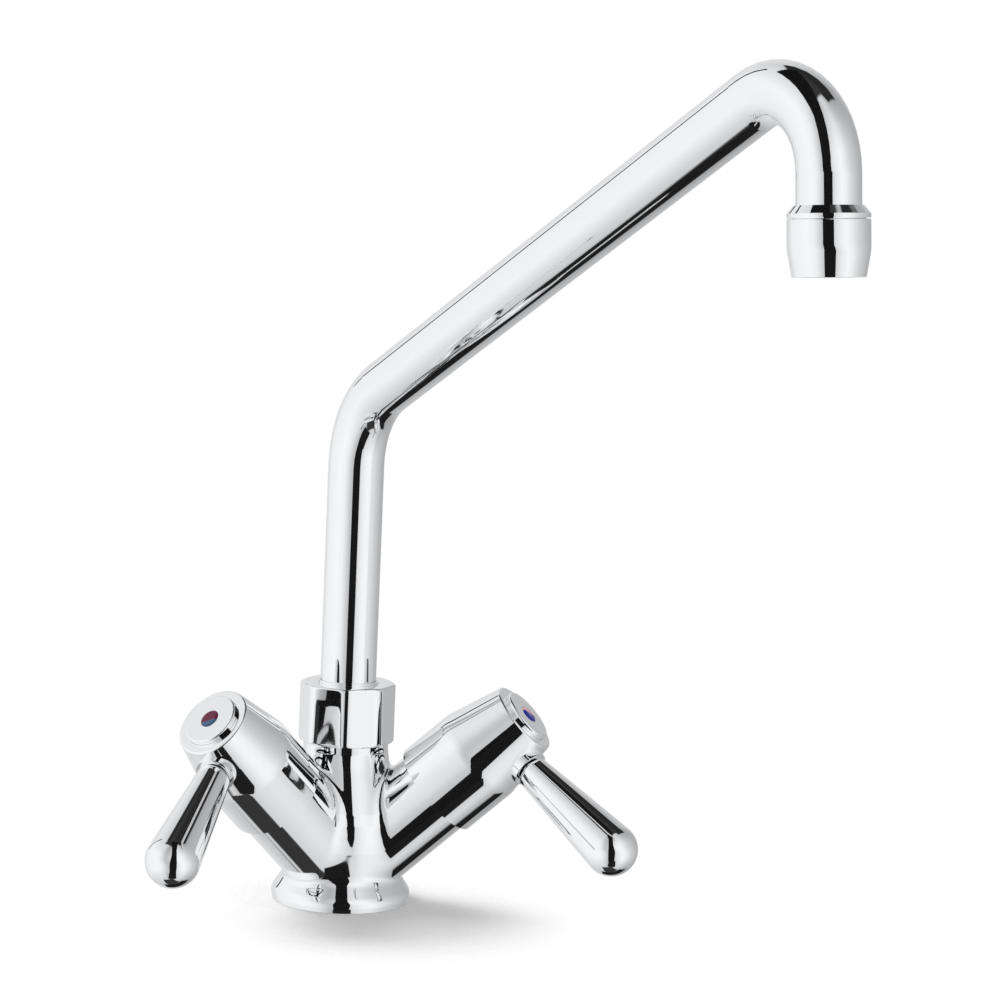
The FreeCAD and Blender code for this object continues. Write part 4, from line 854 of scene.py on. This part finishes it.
class FAUCET_OT_aerator(FaucetOperator, bpy.types.Operator):
    """Finish the aerator's insert and weave its screen"""
    bl_idname = "faucet.aerator"
    bl_label = "Aerator"

    def execute(self, context):
        finishes = context.scene.faucet_finishes
        parts = context.scene.faucet_small_parts
        plastic = grained_material("moulded insert", finishes.insert, 0.0, 0.35, 0.06, 3000.0, coat=0.1)
        finish_with(plastic, "aerator_insert")
        wire = grained_material("screen wire", finishes.steel, 1.0, 0.3, 0.1, 6000.0)
        low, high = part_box("aerator_screen")
        mount = next(m for m in frame["record"]["mounts"] if m["name"] == "water_outlet")
        down = Vector(mount["axis"]).normalized()
        turned = Vector((0, 0, 1)).rotation_difference(down).to_matrix().to_4x4()
        screen = baked_piece("aerator_screen_weave", screen_tree(), {
            "Radius": parts.screen_radius, "Pitch": parts.wire_pitch, "Wire Radius": parts.wire_radius,
        }, wire, Matrix.Translation((low + high) / 2) @ turned)
        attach(screen, "spout")
        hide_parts("aerator_screen")
        return {"FINISHED"}


class FAUCET_OT_threads(FaucetOperator, bpy.types.Operator):
    """Cut the threads of the inlets and of the fixing stud's hole"""
    bl_idname = "faucet.threads"
    bl_label = "Threads"

    def execute(self, context):
        finishes = context.scene.faucet_finishes
        parts = context.scene.faucet_small_parts
        brass = grained_material("thread brass", finishes.brass, 1.0, 0.35, 0.15, 3000.0)
        tree = thread_tree()
        pitches = {
            "hot_inlet": parts.inlet_pitch,
            "cold_inlet": parts.inlet_pitch,
            "fixing_stud_hole": parts.stud_pitch,
        }
        for mount in frame["record"]["mounts"]:
            pitch = pitches.get(mount["name"])
            if pitch is None:
                continue
            x, y, _ = mount["pos_m"]
            thread = baked_piece(mount["name"] + "_thread", tree, {
                "Wall Radius": mount["dims"]["r_mm"] * MM, "Pitch": pitch,
                "Length": mount["dims"]["length_mm"] * MM - 2 * pitch, "Steps": parts.thread_steps,
            }, brass, Matrix.Translation((x, y, pitch)))
            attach(thread, "base")
        return {"FINISHED"}


# ---------------------------------------------------------------- the studio

def unit_vector(azimuth, elevation):
    """Unit vector from angles in radians; azimuth runs from the front (-Y) towards the cold side."""
    level = math.cos(elevation)
    return Vector((math.sin(azimuth) * level, -math.cos(azimuth) * level, math.sin(elevation)))


def direction(azimuth, elevation):
    """The same, from angles in degrees."""
    return unit_vector(math.radians(azimuth), math.radians(elevation))


@built_once("Card")
def card_group(name):
    """A flat card far away: 1 where a direction meets it, with soft edges."""
    tree, given, result = new_tree(
        "ShaderNodeTree", name,
        [("Direction", "NodeSocketVector", None), ("Facing", "NodeSocketVector", (0, -1, 0)),
         ("Across", "NodeSocketVector", (1, 0, 0)), ("Half Width", "NodeSocketFloat", 0.2),
         ("Half Height", "NodeSocketFloat", 0.2), ("Edge", "NodeSocketFloat", 0.02)],
        [("Mask", "NodeSocketFloat")])
    way, facing, across = (given.outputs[label] for label in ("Direction", "Facing", "Across"))
    along = node(tree, "ShaderNodeVectorMath", {0: facing, 1: across}, operation="CROSS_PRODUCT").outputs[0]
    depth = dot_product(tree, way, facing)
    near = arithmetic(tree, "MAXIMUM", depth, 0.001)
    mask = arithmetic(tree, "GREATER_THAN", depth, 0.01)
    for axis, half in ((across, "Half Width"), (along, "Half Height")):
        off = arithmetic(tree, "ABSOLUTE", arithmetic(tree, "DIVIDE", dot_product(tree, way, axis), near))
        inside = arithmetic(tree, "SUBTRACT", given.outputs[half], off)
        soft = node(tree, "ShaderNodeMapRange", {
            "Value": arithmetic(tree, "DIVIDE", inside, given.outputs["Edge"]),
            "From Min": -0.5, "From Max": 0.5}, interpolation_type="SMOOTHSTEP")
        mask = arithmetic(tree, "MULTIPLY", mask, soft.outputs["Result"])
    tree.links.new(mask, result.inputs["Mask"])
    return tree


# What the polished plate sees round the horizon: azimuth in degrees and level.
RING = (
    (-180, 0.77), (-160, 0.76), (-140, 0.9), (-120, 0.93), (-80, 0.98), (-60, 0.92), (-48, 0.8), (-36, 0.62),
    (-28, 0.55), (2, 0.7), (8, 0.8), (20, 0.9), (35, 0.97), (50, 0.9), (62, 0.78),
    (80, 0.64), (100, 0.54), (120, 0.46), (140, 0.43), (160, 0.6), (180, 0.77),
)
# The ring leans: two elevations, and how far it is turned at each, in degrees.
LEAN = (-8.0, 18.0, 0.0, 16.0)
# The ring dims away from the horizon: two elevations, and the level left past the second.
DIMMING = (25.0, 65.0, 0.72)

# Cards before the ring: azimuth, elevation, half width and height (as tangents), edge, level.
CARDS = (
    (-156.0, 24.0, 0.035, 0.33, 0.02, 0.03),
    (-11.0, -53.0, 0.23, 0.27, 0.02, 0.012),
    (140.0, 68.0, 0.45, 0.3, 0.06, 0.022),
    (-150.0, 84.0, 0.29, 0.29, 0.08, 0.035),
    (-50.0, -86.0, 0.3, 0.3, 0.06, 0.035),
    (142.0, -65.0, 0.42, 0.24, 0.06, 0.012),
)
MIRRORED_TINT = (0.985, 0.99, 1.0, 1)
WHITE = (1, 1, 1, 1)


def ring_level(tree, way):
    """The level round the horizon for a direction."""
    x, y, z = node(tree, "ShaderNodeSeparateXYZ", {0: way}).outputs
    azimuth = arithmetic(tree, "ARCTAN2", x, arithmetic(tree, "MULTIPLY", y, -1.0))
    elevation = arithmetic(tree, "ARCSINE", z)
    low, high, low_turn, high_turn = (math.radians(angle) for angle in LEAN)
    lean = node(tree, "ShaderNodeMapRange", {
        "Value": elevation, "From Min": low, "From Max": high, "To Min": low_turn, "To Max": high_turn,
    }).outputs["Result"]
    turned = arithmetic(tree, "DIVIDE", arithmetic(tree, "ADD", azimuth, lean), 2 * math.pi)
    share = arithmetic(tree, "FRACT", arithmetic(tree, "ADD", turned, 0.5))
    ramp = node(tree, "ShaderNodeValToRGB", {"Fac": share})
    stops = ramp.color_ramp.elements
    while len(stops) < len(RING):
        stops.new(0.5)
    for stop, (angle, level) in zip(stops, RING):
        stop.position = (angle + 180) / 360
        stop.color = (level, level, level, 1)
    near, far, left = DIMMING
    dim = node(tree, "ShaderNodeMapRange", {
        "Value": arithmetic(tree, "ABSOLUTE", elevation), "From Min": math.radians(near),
        "From Max": math.radians(far), "To Min": 1.0, "To Max": left})
    grey = node(tree, "ShaderNodeRGBToBW", {"Color": ramp.outputs["Color"]}).outputs["Val"]
    return arithmetic(tree, "MULTIPLY", grey, dim.outputs["Result"])


def make_world(studio):
    """White to the camera, an even dome to the floor, and a ring of soft boxes to the plate."""
    world = bpy.data.worlds.new("studio")
    world.use_nodes = True
    tree = world.node_tree
    tree.nodes.clear()
    way = tree.nodes.new("ShaderNodeTexCoord").outputs["Generated"]
    level = ring_level(tree, way)
    for azimuth, elevation, half_width, half_height, edge, shade in CARDS:
        facing = direction(azimuth, elevation)
        card = use_group(tree, card_group(), way, {
            "Facing": facing, "Across": facing.cross(Vector((0, 0, 1))).normalized(), "Half Width": half_width,
            "Half Height": half_height, "Edge": edge})
        mix = node(tree, "ShaderNodeMix", {"Factor": card.outputs["Mask"], "A": level, "B": shade},
                   data_type="FLOAT")
        level = mix.outputs["Result"]
    ray = tree.nodes.new("ShaderNodeLightPath")
    even = node(tree, "ShaderNodeBackground", {"Color": WHITE, "Strength": studio.dome})
    seen = node(tree, "ShaderNodeBackground", {"Color": WHITE, "Strength": 1.0})
    mirrored = node(tree, "ShaderNodeBackground", {"Color": MIRRORED_TINT, "Strength": level})
    glossy = node(tree, "ShaderNodeMixShader", {
        0: ray.outputs["Is Glossy Ray"], 1: even.outputs[0], 2: mirrored.outputs[0]})
    whole = node(tree, "ShaderNodeMixShader", {
        0: ray.outputs["Is Camera Ray"], 1: glossy.outputs[0], 2: seen.outputs[0]})
    output = tree.nodes.new("ShaderNodeOutputWorld")
    tree.links.new(whole.outputs[0], output.inputs["Surface"])
    bpy.context.scene.world = world


# The dark slot in front: its azimuth in degrees, then distance, height and half width along it, in metres.
SLOT_AZIMUTH = -12.5
SLOT = (
    (1.3, -1.2, 0.325), (1.3, 0.1, 0.325), (0.8, 0.26, 0.17), (0.56, 0.35, 0.105), (0.42, 0.565, 0.1),
    (0.2, 0.6, 0.1), (0.0, 0.6, 0.1),
)
SLOT_COLOR = (0.012, 0.012, 0.012)

FLOOR_SIDES, FLOOR_HEIGHT = 96, -0.0001
# Where the floor shows, in metres: a centre, how far from it the floor is whole, and where it has gone.
UNDER_FOOT = ((0.0, 0.0, 0.0), 0.024, 0.04)
# The same for the shadow in front, which goes at the floor radius.
SHADOW = ((0.008, -0.03, 0.0), 0.02)

# The lamp's azimuth and elevation in degrees, its distance and the length of its sides.
LAMP_AZIMUTH, LAMP_ELEVATION, LAMP_DISTANCE, LAMP_SIZE = -130.0, 50.0, 1.6, 0.9


def stage_piece(name, verts, faces, finish, color, roughness):
    """A plain matt piece of the studio, with its material's tree, shader and coordinates."""
    mesh = bpy.data.meshes.new(name)
    mesh.from_pydata([tuple(vert) for vert in verts], [], faces)
    material, tree, shader, place = new_material(finish)
    shader.inputs["Base Color"].default_value = (*color, 1)
    shader.inputs["Roughness"].default_value = roughness
    shader.inputs["Specular IOR Level"].default_value = 0.0
    mesh.materials.append(material)
    piece = add_object(name, mesh)
    return piece, tree, shader, place


def make_slot():
    """A dark band that runs up in front of the faucet and over it, seen only in the plate."""
    forward, side = direction(SLOT_AZIMUTH, 0), direction(SLOT_AZIMUTH + 90, 0)
    verts = [forward * distance + side * half * edge + Vector((0, 0, height))
             for distance, height, half in SLOT for edge in (-1, 1)]
    faces = [(2 * k, 2 * k + 1, 2 * k + 3, 2 * k + 2) for k in range(len(SLOT) - 1)]
    slot, *_ = stage_piece("studio_slot", verts, faces, "dark slot", SLOT_COLOR, 1.0)
    slot.visible_camera = slot.visible_diffuse = slot.visible_shadow = slot.visible_transmission = False


def make_floor(studio):
    """A round pale floor that keeps the faucet's soft shadow and fades into the white round it."""
    reach = studio.floor_radius * 2
    angles = [2 * math.pi * k / FLOOR_SIDES for k in range(FLOOR_SIDES)]
    ring = [(reach * math.cos(angle), reach * math.sin(angle), FLOOR_HEIGHT) for angle in angles]
    floor, tree, shader, place = stage_piece(
        "studio_floor", ring, [range(FLOOR_SIDES)], "pale floor", studio.floor_color, 0.9)
    masks = []
    for centre, solid, clear in (UNDER_FOOT, (*SHADOW, studio.floor_radius)):
        away = node(tree, "ShaderNodeVectorMath", {0: place, 1: centre}, operation="DISTANCE").outputs["Value"]
        masks.append(node(tree, "ShaderNodeMapRange", {
            "Value": away, "From Min": solid, "From Max": clear, "To Min": 1.0, "To Max": 0.0,
        }, interpolation_type="SMOOTHSTEP").outputs["Result"])
    tree.links.new(arithmetic(tree, "MAXIMUM", *masks), shader.inputs["Alpha"])
    floor.visible_glossy = False


def make_lamp(studio):
    """One large soft lamp, high behind on the left."""
    light = bpy.data.lights.new("soft_lamp", "AREA")
    light.shape = "RECTANGLE"
    light.size = light.size_y = LAMP_SIZE
    light.energy = studio.lamp_power
    lamp = add_object("soft_lamp", light)
    away = direction(LAMP_AZIMUTH, LAMP_ELEVATION)
    lamp.location = away * LAMP_DISTANCE
    lamp.rotation_euler = away.to_track_quat("Z", "Y").to_euler()
    lamp.visible_glossy = False


def make_camera(studio):
    """The camera of the reference view."""
    back = unit_vector(studio.azimuth, studio.elevation)
    right = unit_vector(studio.azimuth + math.pi / 2, 0)
    up = back.cross(right)
    cos_roll, sin_roll = math.cos(studio.roll), math.sin(studio.roll)
    turned = Matrix((right * cos_roll + up * sin_roll, up * cos_roll - right * sin_roll, back))
    place = back * studio.distance + right * studio.aim_right + Vector((0, 0, studio.aim_height))
    data = bpy.data.cameras.new("view")
    data.lens = studio.lens
    data.sensor_width = 36
    data.clip_start, data.clip_end = 0.05, 50
    camera = add_object("view", data)
    camera.matrix_world = Matrix.Translation(place) @ turned.transposed().to_4x4()
    bpy.context.scene.camera = camera


class FAUCET_OT_studio(FaucetOperator, bpy.types.Operator):
    """Set up the floor, the light and the camera"""
    bl_idname = "faucet.studio"
    bl_label = "Studio"

    def execute(self, context):
        studio = context.scene.faucet_studio
        make_world(studio)
        make_slot()
        make_floor(studio)
        make_lamp(studio)
        make_camera(studio)
        context.scene.view_settings.view_transform = "Standard"
        return {"FINISHED"}


OPERATORS = (
    FAUCET_OT_cast_body, FAUCET_OT_spout_nut, FAUCET_OT_plate_spout, FAUCET_OT_plate_handles,
    FAUCET_OT_index_dots, FAUCET_OT_inner_metal, FAUCET_OT_seals_and_discs, FAUCET_OT_aerator,
    FAUCET_OT_threads, FAUCET_OT_studio,
)


class FAUCET_PT_panel(bpy.types.Panel):
    """The faucet's steps and settings"""
    bl_idname = "FAUCET_PT_panel"
    bl_label = "Kitchen Faucet"
    bl_space_type = "VIEW_3D"
    bl_region_type = "UI"
    bl_category = "Faucet"

    def draw(self, context):
        column = self.layout.column()
        for operator in OPERATORS:
            column.operator(operator.bl_idname)
        scene = context.scene
        groups = (scene.faucet_finishes, scene.faucet_casting, scene.faucet_small_parts, scene.faucet_studio)
        for group in groups:
            box = self.layout.box()
            for name in group.__annotations__:
                box.prop(group, name)


CLASSES = (FaucetFinishes, FaucetCasting, FaucetSmallParts, FaucetStudio, *OPERATORS, FAUCET_PT_panel)


def register():
    for cls in CLASSES:
        bpy.utils.register_class(cls)
    bpy.types.Scene.faucet_finishes = PointerProperty(type=FaucetFinishes)
    bpy.types.Scene.faucet_casting = PointerProperty(type=FaucetCasting)
    bpy.types.Scene.faucet_small_parts = PointerProperty(type=FaucetSmallParts)
    bpy.types.Scene.faucet_studio = PointerProperty(type=FaucetStudio)


def unregister():
    del bpy.types.Scene.faucet_studio
    del bpy.types.Scene.faucet_small_parts
    del bpy.types.Scene.faucet_casting
    del bpy.types.Scene.faucet_finishes
    for cls in reversed(CLASSES):
        bpy.utils.unregister_class(cls)


def main():
    register()
    for operator in OPERATORS:
        family, name = operator.bl_idname.split(".")
        getattr(getattr(bpy.ops, family), name)()


if __name__ == "__main__":
    main()
